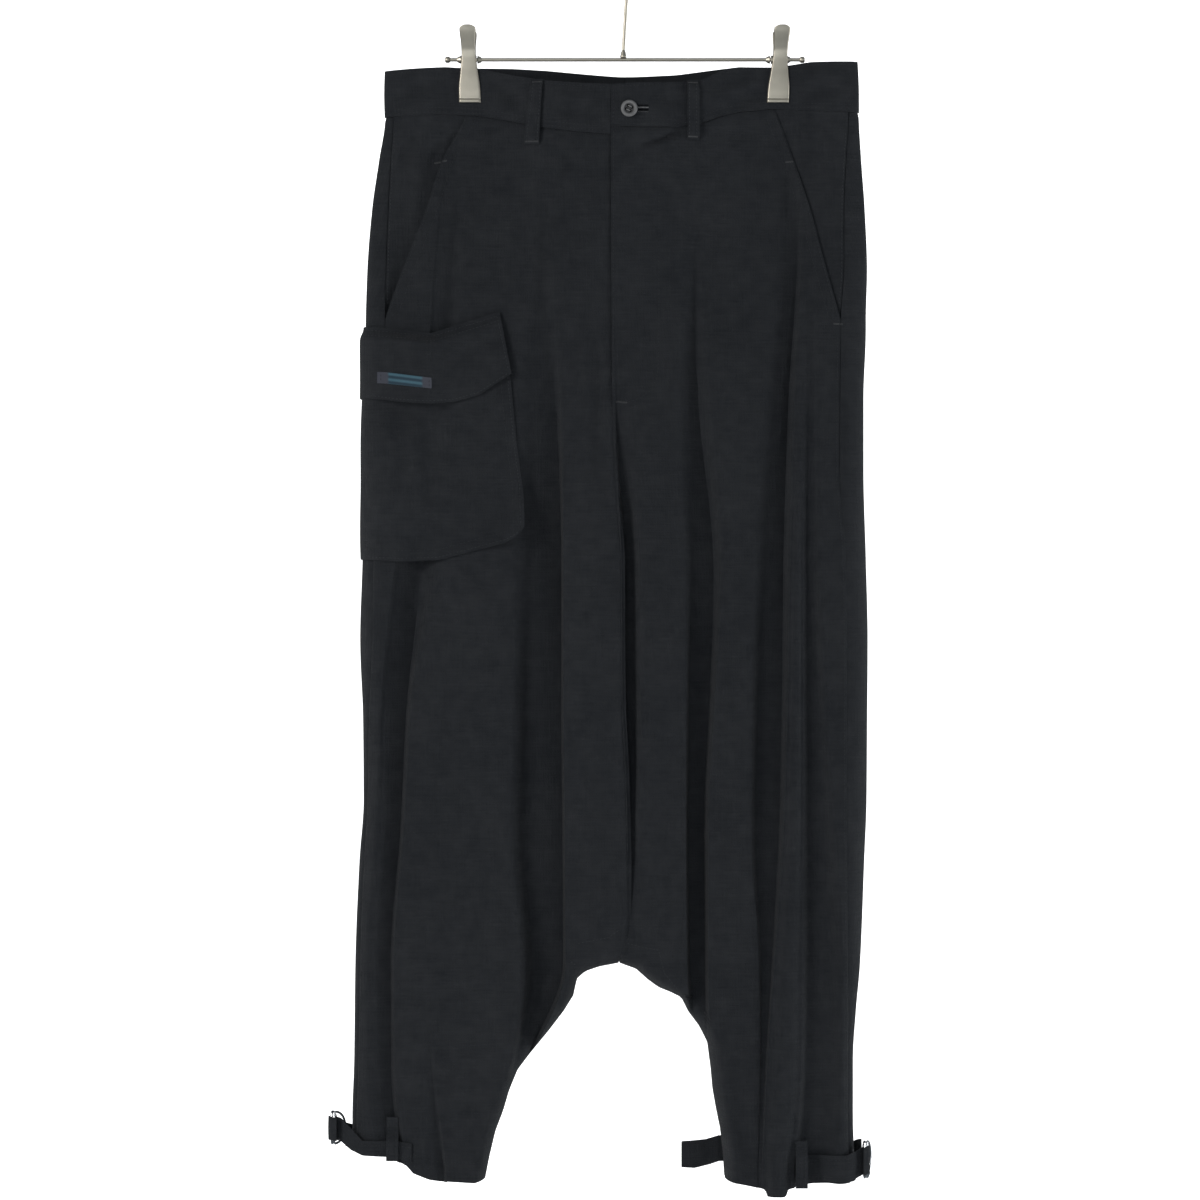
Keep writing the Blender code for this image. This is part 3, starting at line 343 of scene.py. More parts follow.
waist = {
    "right": table(
        "across frontTop frontSeam backTop backSeam",
        (-203, 120, 159, 120, 159), (-151, 117, 157, 117, 158), (-122, 118, 158, 117, 157.5),
        (-95, 124, 163, 117, 158), (-66, 129, 169, 118, 159), (-36, 132, 173, 120, 160.5),
        (-5, 133.5, 176, 122, 162)),
    "left": table(
        "across frontTop frontSeam backTop backSeam",
        (-14, 133.5, 168.5, 122, 162), (8, 132, 169, 122, 162), (44, 131, 168.5, 121, 161),
        (63, 129, 165.5, 119, 159), (82, 120, 158, 117, 157.5), (97, 117, 154.5, 115.5, 156),
        (125, 117, 152, 117, 155), (156, 113, 154, 113, 154), (197, 112, 155, 112, 155)),
}
pocketMouth = {
    "right": table(
        "drop across", (150, -131), (162, -136), (198, -155), (238, -167.5), (295, -189), (330, -201)),
    "left": table(
        "drop across", (145, 123.5), (157, 128), (199, 143.5), (239, 156.4), (275, 165.5), (304, 173.2), (320, 177.6),
        (330, 180.5)),
}
hem = {
    "right": table(
        "across drop",
        (-230, 1024), (-219, 1026), (-203, 1027), (-193, 1031), (-190, 1034), (-179, 1036.5), (-177, 1042),
        (-162.5, 1047.5), (-150, 1049.5), (-148.5, 1048.5), (-126, 1049.5), (-117, 1048)),
    "left": table(
        "across drop",
        (83, 1048), (99, 1051), (116.5, 1055), (118.5, 1060.5), (134, 1061), (136, 1055.5), (142, 1054),
        (154, 1052), (189, 1052), (196, 1050)),
}

# Folds at nine heights: where each starts and ends, its depth, the two places between its ends where its
# floor lies, and how deep the floor is at each of them as a share. A wall that is short is a crisp edge.
# A negative depth stands out.
foldHeights = np.array([159, 270, 396, 531, 649, 758, 870, 960, 1040], float)


def fold(fromSide, toMiddle, depth, floorFrom, floorTo, levels=(1, 1)):
    rows = (fromSide, toMiddle, depth, floorFrom, floorTo, *levels)
    names = ("from", "to", "depth", "floorFrom", "floorTo", "levelFrom", "levelTo")
    return dict(zip(names, (np.broadcast_to(np.array(row, float), 9) for row in rows)))


folds = {
    ("right", "front"): [
        fold((-150, -159.5, -168, -191.5, -204, -209, -217, -216, -206),
             (-138, -134, -140, -153, -177.5, -184, -191.8, -190.8, -182),
             (0.5, 5, 6, 12, 12, 10.5, 8, 7, 6),
             (0.3, 0.11, 0.1, 0.09, 0.14, 0.3, 0.35, 0.35, 0.35), (0.6, 0.6, 0.6, 0.58, 0.82, 0.84, 0.84, 0.82, 0.8),
             ((1, 0.45, 0.4, 0.3, 0.3, 0.35, 0.35, 0.35, 0.35), 1)),
        fold((-137, -133, -138, -150, -164, -174, -184, -175, -166),
             (-128, -124, -128, -138, -142, -152, -163, -157, -148.5),
             (0, 0, 0, 0, 0, 0, 0.3, 2, 4.2), 0.4, (0.8, 0.8, 0.8, 0.8, 0.8, 0.76, 0.7, 0.74, 0.84), (0.4, 1)),
        fold((-92, -92, -91, -95, -95, -97, -88, -97, -112), (-58, -55, -52, -51.4, -51.4, -50.3, -49.5, -84, -104),
             (0, 1, 8, 18, 19, 19, 19, 10, 0), (0.4, 0.4, 0.42, 0.45, 0.32, 0.3, 0.3, 0.35, 0.4),
             (0.6, 0.6, 0.85, 0.95, 0.95, 0.95, 0.93, 0.85, 0.7),
             ((0.6, 0.6, 0.6, 0.55, 0.7, 0.75, 0.9, 0.8, 0.6), 1)),
    ],
    ("left", "front"): [
        fold((162, 160, 160.8, 162.5, 167.6, 175, 182, 183, 182), (150, 151, 150, 147.8, 147.6, 147.4, 147, 146, 140),
             (0, 0.3, 2, 5.5, 8, 9.5, 11, 11.5, 10), 0.34, (0.66, 0.66, 0.66, 0.68, 0.72, 0.76, 0.8, 0.84, 0.86),
             (0.9, 0.8)),
        fold((149.5, 150.7, 149.5, 147.5, 147.3, 147.1, 146.5, 145.5, 137.5),
             (147.5, 149.6, 143, 138.8, 136.4, 133, 125, 119, 115.5),
             (0, 0, -0.5, -2.5, -3.5, -4, -5, -6, -6), 0.35, 0.65),
        fold((146.5, 149.2, 142.6, 138, 135.6, 132, 124.4, 118, 114.5), (127, 125, 112.5, 107, 105, 104, 111, 112, 110),
             (0, 6, 10.5, 13, 14, 13, 7, 3, 1), (0.25, 0.18, 0.18, 0.17, 0.14, 0.12, 0.16, 0.2, 0.2),
             (0.5, 0.3, 0.35, 0.6, 0.76, 0.78, 0.78, 0.78, 0.78),
             (1, (0.7, 0.8, 0.7, 0.55, 0.65, 0.7, 0.75, 0.75, 0.75))),
        fold((56, 66, 72, 81, 75, 69.5, 69.5, 71.5, 84), (43, 48, 45, 49, 50, 50, 51, 58, 74),
             (0, 3.5, 9, 14, 16, 16, 14, 6, 0), (0.5, 0.45, 0.4, 0.22, 0.17, 0.18, 0.15, 0.2, 0.3),
             (0.7, 0.74, 0.75, 0.75, 0.82, 0.84, 0.8, 0.7, 0.7),
             (1, (0.4, 0.4, 0.4, 0.5, 0.7, 0.85, 0.9, 0.8, 0.8))),
        fold((2, 2, 4, 13, 14, 12, 12, 78, 89), (-10.5, -10.5, -9.5, -3.3, -2.4, 1.9, 0, 74.5, 86),
             (0, 0, 2, 14, 15, 8, 1, 0, 0), 0.4, 0.86, (0.85, 1)),
    ],
    ("right", "back"): [
        fold((-165, -168, -170, -172, -176, -180, -186, -190, -192),
             (-142, -143, -142, -144, -148, -154, -162, -168, -172),
             (0, 3, 6, 8, 10, 10, 11, 9, 7), 0.35, 0.8, (0.6, 1)),
        fold((-112, -112, -108, -104, -104, -108, -114, -142, -148), (-84, -84, -80, -76, -76, -80, -84, -122, -132),
             (0, 4, 7, 10, 11, 12, 11, 7, 5), 0.2, 0.6, (1, 0.6)),
        fold((-50, -50, -46, -42, -40, -40, -42, -108, -126), (-30, -30, -26, -20, -18, -18, -20, -98, -118),
             (0, 2, 4, 7, 9, 8, 3, 0, 0), 0.4, 0.8, (0.6, 1)),
    ],
    ("left", "back"): [
        fold((164, 160, 158, 158, 160, 161, 162, 163, 166), (142, 138, 134, 134, 136, 138, 139, 140, 144),
             (0, 3, 6, 9, 9, 11, 10, 8, 6), 0.2, 0.65, (1, 0.6)),
        fold((110, 106, 102, 100, 98, 100, 106, 124, 130), (84, 78, 74, 72, 70, 74, 82, 106, 112),
             (0, 4, 8, 9, 12, 11, 10, 8, 6), 0.4, 0.82, (0.6, 1)),
        fold((48, 46, 44, 42, 40, 42, 44, 84, 94), (26, 24, 22, 20, 18, 20, 24, 80, 91),
             (0, 3, 5, 8, 8, 9, 6, 0, 0), 0.3, 0.75, (0.7, 1)),
    ],
}

# Soft creases: a line of (across, drop) points, half the width and the depth. Positive goes in.
creases = {
    ("right", "front"): [
        (((-36, 330), (-35, 370), (-33, 408)), 3, -1.6),
        (((-24, 340), (-22, 380), (-24, 430), (-29, 490)), 4, 2.2),
        (((-16, 400), (-12, 450), (-8, 490)), 3.5, -1.4),
        (((-67, 178), (-66, 240), (-68, 300), (-74, 370)), 7, 2.0),
        (((-100, 560), (-106, 700), (-118, 860), (-128, 960)), 14, 1.2),
        (((-132, 560), (-126, 640), (-130, 760)), 12, -0.8),
        (((-158, 900), (-154, 980), (-148, 1040)), 7, 1.4),
        (((-23, 176), (-42, 174), (-60, 172)), 4, 0.8),
        (((-171, 160), (-177, 180), (-187, 204)), 4.5, 2.4),
        (((-184, 164), (-190, 184), (-196, 206)), 4, -1.4),
        (((-150, 164), (-156, 184), (-163, 204)), 4, 1.6),
        (((-120, 172), (-117, 240), (-119, 300)), 8, -1.0),
        (((-90, 176), (-88, 230), (-90, 280)), 6, 0.8),
        (((-50, 180), (-46, 240), (-44, 300)), 7, 0.9),
        (((-176, 190), (-172, 215), (-178, 250)), 5, -0.8),
        (((-60, 868), (-72, 890), (-80, 920)), 4, 1.6),
        (((-52, 420), (-54, 500), (-50, 560)), 5, -1.0),
        (((-108, 200), (-112, 280), (-108, 330)), 12, -1.0),
    ],
    ("left", "front"): [
        (((12, 184), (28, 179.5), (52, 169)), 2.3, 4.2),
        (((-8, 192), (4, 188), (18, 182)), 4, 1.2),
        (((40, 190), (46, 225), (48, 260), (45, 310), (42, 370), (44, 430)), 8, -2.0),
        (((60, 172), (84, 176), (110, 172)), 5, 0.9),
        (((66, 215), (72, 300), (70, 380)), 10, 0.9),
        (((104, 190), (100, 260), (96, 330)), 9, -0.9),
        (((2, 200), (16, 196), (30, 199)), 3, -0.7),
        (((24, 240), (22, 330), (22, 400)), 6, 1.0),
        (((88, 420), (90, 560), (92, 700), (90, 860)), 9, -1.0),
        (((46, 840), (50, 858), (53, 884)), 2.6, 2.0),
        (((6, 858), (20, 862), (34, 872)), 4, 1.2),
        (((136, 184), (137, 215), (137, 250)), 8, 1.3),
        (((163, 158), (168, 200), (172, 232)), 5, 1.5),
        (((148, 160), (150, 190)), 3.5, 1.2),
        (((184, 166), (194, 167)), 2.5, 0.9),
        (((182, 192), (194, 195)), 2.5, -0.8),
        (((180, 250), (192, 256)), 3, 0.8),
        (((92, 940), (96, 1000), (102, 1040)), 6, 1.4),
        (((32, 480), (30, 600), (32, 700)), 8, -1.2),
        (((78, 880), (84, 960), (92, 1030)), 5, -1.2),
    ],
    ("right", "back"): [
        (((-70, 200), (-74, 300), (-66, 420)), 10, 1.4),
        (((-130, 420), (-128, 560), (-134, 760)), 12, 1.2),
        (((-60, 620), (-62, 740), (-66, 860)), 8, 1.5),
        (((-20, 300), (-14, 420)), 6, 1.2),
    ],
    ("left", "back"): [
        (((64, 200), (58, 320), (56, 440)), 10, 1.4),
        (((120, 420), (116, 600), (122, 780)), 12, 1.2),
        (((54, 640), (54, 760), (60, 860)), 8, 1.4),
        (((176, 300), (174, 480), (176, 660)), 7, 1.0),
    ],
}


def ease(share):
    share = np.clip(share, 0, 1)
    return share * share * (3 - 2 * share)


def smooth(stations, values, at):
    # A cubic through a table that doesn't overshoot it.
    steps = np.diff(stations)
    slopes = np.diff(values) / steps
    tangents = np.concatenate([slopes[:1], np.zeros(len(slopes) - 1), slopes[-1:]])
    turning = slopes[:-1] * slopes[1:] > 0
    both = slopes[:-1] + slopes[1:]
    tangents[1:-1][turning] = 2 * (slopes[:-1] * slopes[1:])[turning] / both[turning]
    at = np.clip(at, stations[0], stations[-1])
    i = np.clip(np.searchsorted(stations, at, side="right") - 1, 0, len(steps) - 1)
    t = (at - stations[i]) / steps[i]
    start = (1 + 2 * t) * (1 - t) ** 2 * values[i] + t * (1 - t) ** 2 * steps[i] * tangents[i]
    end = t * t * (3 - 2 * t) * values[i + 1] + t * t * (t - 1) * steps[i] * tangents[i + 1]
    return start + end


def down(rows, name, drop):
    return smooth(rows["drop"], rows[name], drop)


def over(rows, name, at, by="across"):
    return np.interp(at, rows[by], rows[name])


def seamDrop(leg, face, across):
    return over(waist[leg], face + "Seam", across)


def lineGap(points, across, drop):
    # The distance to a line of points, and how far along it the nearest place is, 0 to 1.
    points = np.array(points, float)
    run = points[1:] - points[:-1]
    spot = np.stack(np.broadcast_arrays(across, drop), -1)[..., None, :]
    share = np.clip(((spot - points[:-1]) * run).sum(-1) / (run * run).sum(-1), 0, 1)
    away = np.linalg.norm(spot - points[:-1] - share[..., None] * run, axis=-1)
    nearest = away.argmin(-1)
    along = (np.take_along_axis(share, nearest[..., None], -1)[..., 0] + nearest) / len(run)
    return away.min(-1), along


def lengthAlong(points):
    steps = np.linalg.norm(np.diff(points, axis=-2), axis=-1)
    return np.concatenate([0 * steps[..., :1], np.cumsum(steps, -1)], -1)


def chained(*runs):
    # Places along runs of (first, last, how many), end to end.
    return np.concatenate([np.linspace(*run, endpoint=False) for run in runs] + [[runs[-1][1]]])


def outlineShare(leg, across, drop):
    reach = outward[leg] * (down(outline[leg], "edge", drop) - across)
    path = insideLeg[leg]
    away = lineGap(np.stack([path["across"], path["drop"]], -1), across, drop)[0]
    return np.clip(np.minimum(reach, away * 2.2) / down(middle, "round", drop), 0, 1)


waistSlack = {"front": 15, "back": 13, "fromClip": 8, "besideClip": 10, "endWide": 58, "end": 3.5}


def waistDepth(face, across):
    # Pinched at the clips, slack between them and a little beside them.
    left, right = clipAcross
    gap = waistSlack["fromClip"]
    between = np.clip((across - left - gap) / (right - left - 2 * gap), 0, 1)
    beyond = np.maximum(left - across, across - right) - waistSlack["besideClip"]
    beyond = np.clip(beyond / waistSlack["endWide"], 0, 1)
    return clipPinch + waistSlack[face] * np.sin(np.pi * between) ** 2 + waistSlack["end"] * np.sin(np.pi * beyond)


def foldMarks(each, drop, *keys):
    return [smooth(foldHeights, each[key], drop) for key in keys]


def foldDepth(leg, face, across, drop):
    depth = 0 * across * drop
    for each in folds[leg, face]:
        start, end, deep, first, last, levelFrom, levelTo = foldMarks(each, drop, *each)
        share = (across - start) / (end - start)
        floor = levelFrom + (levelTo - levelFrom) * np.clip((share - first) / (last - first), 0, 1)
        depth = depth + deep * (floor * np.minimum(ease(share / first), ease((1 - share) / (1 - last))))
    return depth


def creaseShape(points, half, across, drop):
    # Full along the middle of a crease, and fading beside it and towards its ends.
    away, along = lineGap(points, across, drop)
    return np.exp(-(away / half) ** 2) * np.sin(np.pi * np.clip(along, 0.02, 0.98)) ** 0.7


def creaseDepth(leg, face, across, drop):
    return sum(deep * creaseShape(points, half, across, drop) for points, half, deep in creases[leg, face])


def slackWaves(face, across, drop):
    # The cloth never hangs quite even.
    turn = 0.7 if face == "front" else 2.1
    wide = np.sin(across / 13.7 + 0.9 * np.sin(drop / 170 + turn) + turn) * 0.30
    tight = np.sin(across / 5.9 + 1.3 * np.sin(drop / 95 + 2 * turn)) * 0.13
    level = np.sin(drop / 31 + across / 46 + turn) * 0.16 + np.sin(drop / 11.3 - across / 29) * 0.06
    return wide + tight + level


def clothDepth(leg, face, across, drop):
    across, drop = np.broadcast_arrays(np.asarray(across, float), np.asarray(drop, float))
    settled = ease((drop - 159) / 230)
    hang = down(middle, "half", drop)
    pinched = waistDepth(face, across)
    deep = pinched + (hang - pinched) * settled - foldDepth(leg, face, across, drop) * np.maximum(settled, 0.02) ** 0.5
    deep = deep - creaseDepth(leg, face, across, drop) * ease((drop - 146) / 20)
    deep = deep + slackWaves(face, across, drop) * (0.35 + 0.65 * ease((drop - 150) / 60))
    share = outlineShare(leg, across, drop)
    deep = np.sqrt(1 - (1 - share) ** 2) * deep
    return facing[face] * deep


# A sheet of cloth from a grid of points

def unit(vectors):
    return vectors / np.maximum(np.linalg.norm(vectors, axis=-1, keepdims=True), 1e-9)


def gridNormals(grid):
    return unit(np.cross(np.gradient(grid, axis=1), np.gradient(grid, axis=0)))


def clothUv(grid):
    # Metres of cloth across from the first column and down from the first row.
    along = lengthAlong(grid)
    centre = slice(grid.shape[1] // 2, grid.shape[1] // 2 + 1)
    way = np.sign(grid[:, -1:, 0] - grid[:, :1, 0])
    return np.stack([grid[:, centre, 0] + way * (along - along[:, centre]), grid[..., 2]], -1) * mm


def clothArea(grid):
    a, b, c, d = grid[:-1, :-1], grid[:-1, 1:], grid[1:, 1:], grid[1:, :-1]
    return float(np.linalg.norm(np.cross(c - a, d - b), axis=-1).sum() / 2) * mm * mm


def place(piece, finish, node=None):
    piece.data.materials.clear()
    piece.data.materials.append(finish)
    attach(piece, "root")
    if node:
        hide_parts(node)
    return piece


def wallFrom(name, grid, way, wall, uvs=None, at=None, sharp=50):
    # A grid of points in millimetres becomes the outer side of a wall that looks forwards or back. A ring looks
    # both ways, so its outer side is told at one place of the grid.
    rows, columns = grid.shape[:2]
    bm = bmesh.new()
    bmesh.ops.create_grid(bm, x_segments=columns - 1, y_segments=rows - 1, size=1)
    layer = None if uvs is None else bm.loops.layers.uv.new("cloth")
    spots = {vert: (round((vert.co.y + 1) / 2 * (rows - 1)), round((vert.co.x + 1) / 2 * (columns - 1)))
             for vert in bm.verts}
    if layer:
        for loop in (loop for one in bm.faces for loop in one.loops):
            loop[layer].uv = uvs[spots[loop.vert]]
    for vert, spot in spots.items():
        vert.co = grid[spot] * mm
    bm.normal_update()
    looks = sum((one.normal * one.calc_area() for one in bm.faces), Vector())
    if at:
        looks = next(vert.normal for vert, spot in spots.items() if spot == at)
    if looks.y * way < 0:
        bmesh.ops.reverse_faces(bm, faces=bm.faces)
    bmesh.ops.solidify(bm, geom=bm.faces[:], thickness=wall * mm)
    return keep(name, bm, sharp)


leastShown = 0.31  # the smallest share of its flat size that a sheet's computed area is clamped to


def clothFrom(name, grid, way, node, wall=clothWall, finish=twill, at=None):
    piece = place(wallFrom(name, grid, way, wall, clothUv(grid), at), finish, node)
    lengths = [np.linalg.norm(np.diff(grid, axis=axis), axis=-1).sum(axis).max() * mm for axis in (1, 0)]
    size = [max(0.01, float(length)) for length in lengths]
    whole = size[0] * size[1]
    area = min(max(clothArea(grid), leastShown * whole), whole)
    return piece


# The four leg panels

# A panel's rows are numbered from the waistband. Its upper part ends with the pocket mouth, its lower begins
# at the crotch.
mouthRow, crotchRow, hemRow = 5, 18, 25
rowPlaces = chained((0, mouthRow, 84), (mouthRow, crotchRow, 120), (crotchRow, hemRow, 60))
sideCrotchDrop = 826
columnStep = 3.6
closest = 0.3


def insidePath(leg, face, rows):
    drop = bandSeam + (crotchDrop - bandSeam) * rows / crotchRow
    across = down(middle, face, drop)
    drop = drop + (seamDrop(leg, face, across) - bandSeam) * np.clip(1 - rows, 0, 1)
    path = insideLeg[leg]
    length = lengthAlong(np.stack([path["across"], path["drop"]], -1))
    at = length[-1] * (rows - crotchRow) / (hemRow - crotchRow)
    return [np.where(rows > crotchRow, np.interp(at, length, path[key]), above)
            for key, above in (("across", across), ("drop", drop))]


def outerDrop(leg, face, rows):
    edge = down(pocketMouth[leg], "across", 155) if face == "front" else down(outline[leg], "sideSeam", 160)
    bottom = over(hem[leg], "drop", down(outline[leg], "sideSeam", 1040))
    return np.interp(rows, [0, mouthRow, crotchRow, hemRow],
                     [seamDrop(leg, "front", edge), pocketEndDrop, sideCrotchDrop, bottom])


def rimLine(leg, turn):
    # Places round the side edge, by an angle: 0 is the edge, a quarter turn is where the rounding ends.
    return lambda drop: (down(outline[leg], "edge", drop)
                         - outward[leg] * down(middle, "round", drop) * (1 - math.cos(turn)))


def columnLines(leg, face):
    side = outward[leg]
    lines = []

    def between(first, second, step, least=0):
        count = max(least, int(abs(first(600.0) - second(600.0)) // step))
        for i in range(1, count + 1):
            lines.append(lambda drop, share=i / (count + 1): first(drop) + (second(drop) - first(drop)) * share)

    def sideLine(drop):
        mouth = down(pocketMouth[leg], "across", drop)
        return np.where(drop < pocketEndDrop, mouth, down(outline[leg], "sideSeam", drop))

    def foldLine(each, kind, share):
        # kind 0 is the outer wall, 1 the deepest part, 2 the inner wall
        def line(drop):
            start, end, *floor = foldMarks(each, drop, "from", "to", "floorFrom", "floorTo")
            marks = [0 * drop, *floor, 0 * drop + 1]
            return start + (end - start) * (marks[kind] + (marks[kind + 1] - marks[kind]) * share)
        return line

    def centreLine(drop):
        return down(middle, face, drop) + side * 20

    if face == "front":
        lines.append(sideLine)
        after = lambda drop: sideLine(drop) - side * 9
        between(sideLine, after, 1.6)
        lines.append(after)
    else:
        lines += [rimLine(leg, math.pi / 2 * i / 12) for i in range(13)]
    for each in folds[leg, face]:
        between(lines[-1], foldLine(each, 0, 0), columnStep)
        width = abs(each["from"][4] - each["to"][4])
        shares = (each["floorFrom"][4], each["floorTo"][4] - each["floorFrom"][4], 1 - each["floorTo"][4])
        for kind, part in enumerate(shares):
            count = max(5 if kind != 1 else 2, round(width * part / 3.5))
            lines += [foldLine(each, kind, i / count) for i in range(count)]
        lines.append(foldLine(each, 2, 1))
    between(lines[-1], centreLine, columnStep)
    lines.append(centreLine)
    for inset in (16, 12.5, 9.5, 7, 5, 3.5, 2.2, 1.1, 0.4):
        lines.append(lambda drop, inset=inset: down(middle, face, drop) + side * inset)
    return lines


def spread(places, least):
    for i in range(len(places) - 2, 0, -1):
        places[i] = np.maximum(places[i], places[i + 1] + least)
    for i in range(1, len(places) - 1):
        places[i] = np.minimum(places[i], places[i - 1] - least)
    return places


def panelGrid(leg, face):
    side = outward[leg]
    lines = columnLines(leg, face)
    outDrop = outerDrop(leg, face, rowPlaces)
    innerAcross, innerDrop = insidePath(leg, face, rowPlaces)
    share = rowPlaces / hemRow
    outAcross = lines[0](outDrop)
    top = [seamDrop(leg, face, x) for x in (outAcross, innerAcross)]
    bottom = [over(hem[leg], "drop", x) for x in (outAcross, innerAcross)]

    def rowDrop(across):
        along = np.clip((across - outAcross) / (innerAcross - outAcross), 0, 1)
        drop = outDrop + (innerDrop - outDrop) * along
        drop = drop + (seamDrop(leg, face, across) - top[0] - (top[1] - top[0]) * along) * (1 - share) ** 6
        return drop + (over(hem[leg], "drop", across) - bottom[0] - (bottom[1] - bottom[0]) * along) * share ** 10

    places = []
    for line in lines:
        drop = outDrop
        for _ in range(4):
            drop = rowDrop(line(drop))
        places.append(side * line(drop))
    places.append(side * innerAcross)
    across = side * np.stack(spread(places, closest), 1)
    drops = np.stack([rowDrop(across[:, j]) for j in range(across.shape[1])], 1)
    depth = clothDepth(leg, face, across, drops)
    if face == "back":
        wraps = []
        drop = drops[:, 0]
        edge, bend = down(outline[leg], "edge", drop), down(middle, "round", drop)
        turn = np.arccos(np.clip(1 - np.abs(edge - down(outline[leg], "sideSeam", drop)) / bend, -1, 1))
        for part in np.linspace(1, 0, 8)[:-1]:
            spot = edge - side * bend * (1 - np.cos(turn * part))
            wraps.append(np.stack([spot, clothDepth(leg, "front", spot, drop), -drop], -1))
        return np.concatenate([np.stack(wraps, 1), np.stack([across, depth, -drops], -1)], 1)
    return np.stack([across, depth, -drops], -1)


seamSinks = {"side": (0.55, 1.2), "middle": (0.55, 1.3), "waist": (0.9, 2.2)}  # the depth and half the width
lowerSideSink = 0.6
mouthRise = {"right": 1.5, "left": 0.9}
flyEndDrop = 404


def rolledEdges(leg, face, grid):
    # The seams sink a little, and the edges stand half a gap off each other.
    side = outward[leg]
    normals = gridNormals(grid)
    if normals[..., 1].mean() * facing[face] < 0:
        normals = -normals
    fromOuter = lengthAlong(grid)
    fromInner = fromOuter[:, -1:] - fromOuter
    drops = -grid[..., 2]

    def beside(away, half):
        return np.exp(-(away / half) ** 2)

    (sideSink, sideHalf), (middleSink, middleHalf), (waistSink, waistHalf) = seamSinks.values()
    sideSink = sideSink + lowerSideSink * ease((drops - pocketEndDrop - 8) / 10)
    sink = sideSink * beside(fromOuter, sideHalf) + middleSink * beside(fromInner, middleHalf)
    sink = sink + waistSink * beside(drops - seamDrop(leg, face, grid[..., 0]), waistHalf)
    if face == "front":
        mouth = ease((pocketEndDrop - drops) / 6) * (0.3 + 0.7 * ease((drops - 196) / 10))
        sink = sink - mouth * beside(fromOuter, 7) * mouthRise[leg]
    if (leg, face) == ("left", "front"):
        fly = ease((flyEndDrop - drops) / 6)
        sink = sink - fly * (0.9 * beside(fromInner, 9) + 0.5 * beside(fromInner, 1.3))
    grid = grid - normals * sink[..., None]
    grid[:, 0] += unit(grid[:, 1] - grid[:, 0]) * seamGap / 2
    grid[:, -1] += unit(grid[:, -2] - grid[:, -1]) * seamGap / 2
    if (leg, face) in (("right", "front"), ("left", "back")):
        # The seam allowance goes on under the other half.
        closed = ease((crotchDrop - drops[:, -1]) / 25)
        reach, under = 0.2 + 3.6 * closed, 0.2 + 1.4 * closed
        extra = [grid[:, -1] + np.stack([-side * reach * part, -facing[face] * under * ease(part * 2), 0 * reach], -1)
                 for part in (0.25, 0.5, 0.75, 1)]
        grid = np.concatenate([grid, np.stack(extra, 1)], 1)
    return grid


for leg in outward:
    for face in facing:
        clothFrom(f"{face}_{leg}_cloth", rolledEdges(leg, face, panelGrid(leg, face)), facing[face], f"{face}_{leg}")
print("panels done")


# Pieces that lie on the cloth

def onCloth(leg, face, across, drop, lift, depthOf=clothDepth):
    # Points on the cloth's curve, lifted along its normal.
    across, drop = np.broadcast_arrays(np.asarray(across, float), np.asarray(drop, float))
    step = 0.5
    acrossSlope = depthOf(leg, face, across + step, drop) - depthOf(leg, face, across - step, drop)
    dropSlope = depthOf(leg, face, across, drop + step) - depthOf(leg, face, across, drop - step)
    normals = unit(np.stack([-acrossSlope, np.full(across.shape, 2 * step), dropSlope], -1) * facing[face])
    points = np.stack([across, depthOf(leg, face, across, drop), -drop], -1)
    return points + normals * np.asarray(lift)[..., None]


for leg, side in outward.items():
    shares = np.linspace(0, 1, 30)[None, :]
    drops = np.linspace(158, pocketEndDrop - 4, 60)[:, None] + 0 * shares
    for _ in range(3):
        inner = down(pocketMouth[leg], "across", drops) - side * 8
        outer = down(outline[leg], "sideSeam", drops) - side * 0.3
        top = seamDrop(leg, "front", inner + (outer - inner) * shares)
        drops = top + (pocketEndDrop - 4 - top) * np.linspace(0, 1, 60)[:, None]
    mouth = down(pocketMouth[leg], "across", drops)
    fromMouth = side * (inner + (outer - inner) * shares - mouth)
    settled = ease((drops - 163) / 30)
    away = ease(fromMouth / np.maximum(side * (outer - mouth), 8))
    flat = np.maximum(away, ease((fromMouth - 1) / 9) * (1 - settled))
    hollow = 0.1 + (1.2 + {"right": 2.6, "left": 0.1}[leg] * settled) * (1 - flat)
    grid = onCloth(leg, "front", inner + (outer - inner) * shares, drops, -hollow)
    clothFrom(f"hip_piece_{leg}", grid, facing["front"], f"pocket_facing_{leg}")
columns, rows = np.meshgrid(np.linspace(-24, 28, 16), np.linspace(137, 392, 60))
grid = onCloth("left", "front", columns, rows, -bandWall - clothWall - 0.6)
clothFrom("fly_underlap_cloth", grid, facing["front"], "fly_underlap")

# The waistband in two halves, and its own wrinkles
bandCreases = {
    "right": [
        (((-192, 150), (-174, 133), (-150, 122)), 6, 1.5), (((-196, 136), (-184, 127), (-170, 121)), 5, -1.0),
        (((-112, 128), (-96, 140), (-84, 152)), 6, 1.3), (((-66, 139), (-45, 144), (-24, 142)), 5, -1.3),
        (((-64, 152), (-42, 157), (-20, 156)), 4, 1.1), (((-120, 146), (-104, 152), (-90, 158)), 5, -0.9)],
    "left": [
        (((68, 146), (98, 134), (124, 127)), 5, -1.4), (((74, 156), (102, 144), (122, 138)), 5, 1.4),
        (((20, 140), (36, 146), (50, 148)), 5, 1.1), (((146, 142), (168, 136), (190, 139)), 6, 1.1),
        (((148, 124), (168, 121), (188, 124)), 5, -0.9)],
}
bandPlaces = np.concatenate([np.arange(18, 186, 3.0), [186]])
bandTurns = np.linspace(math.pi / 2, 0, 9)
bandRows = np.linspace(0, 1, 15)
bandCreaseShare = 1.5
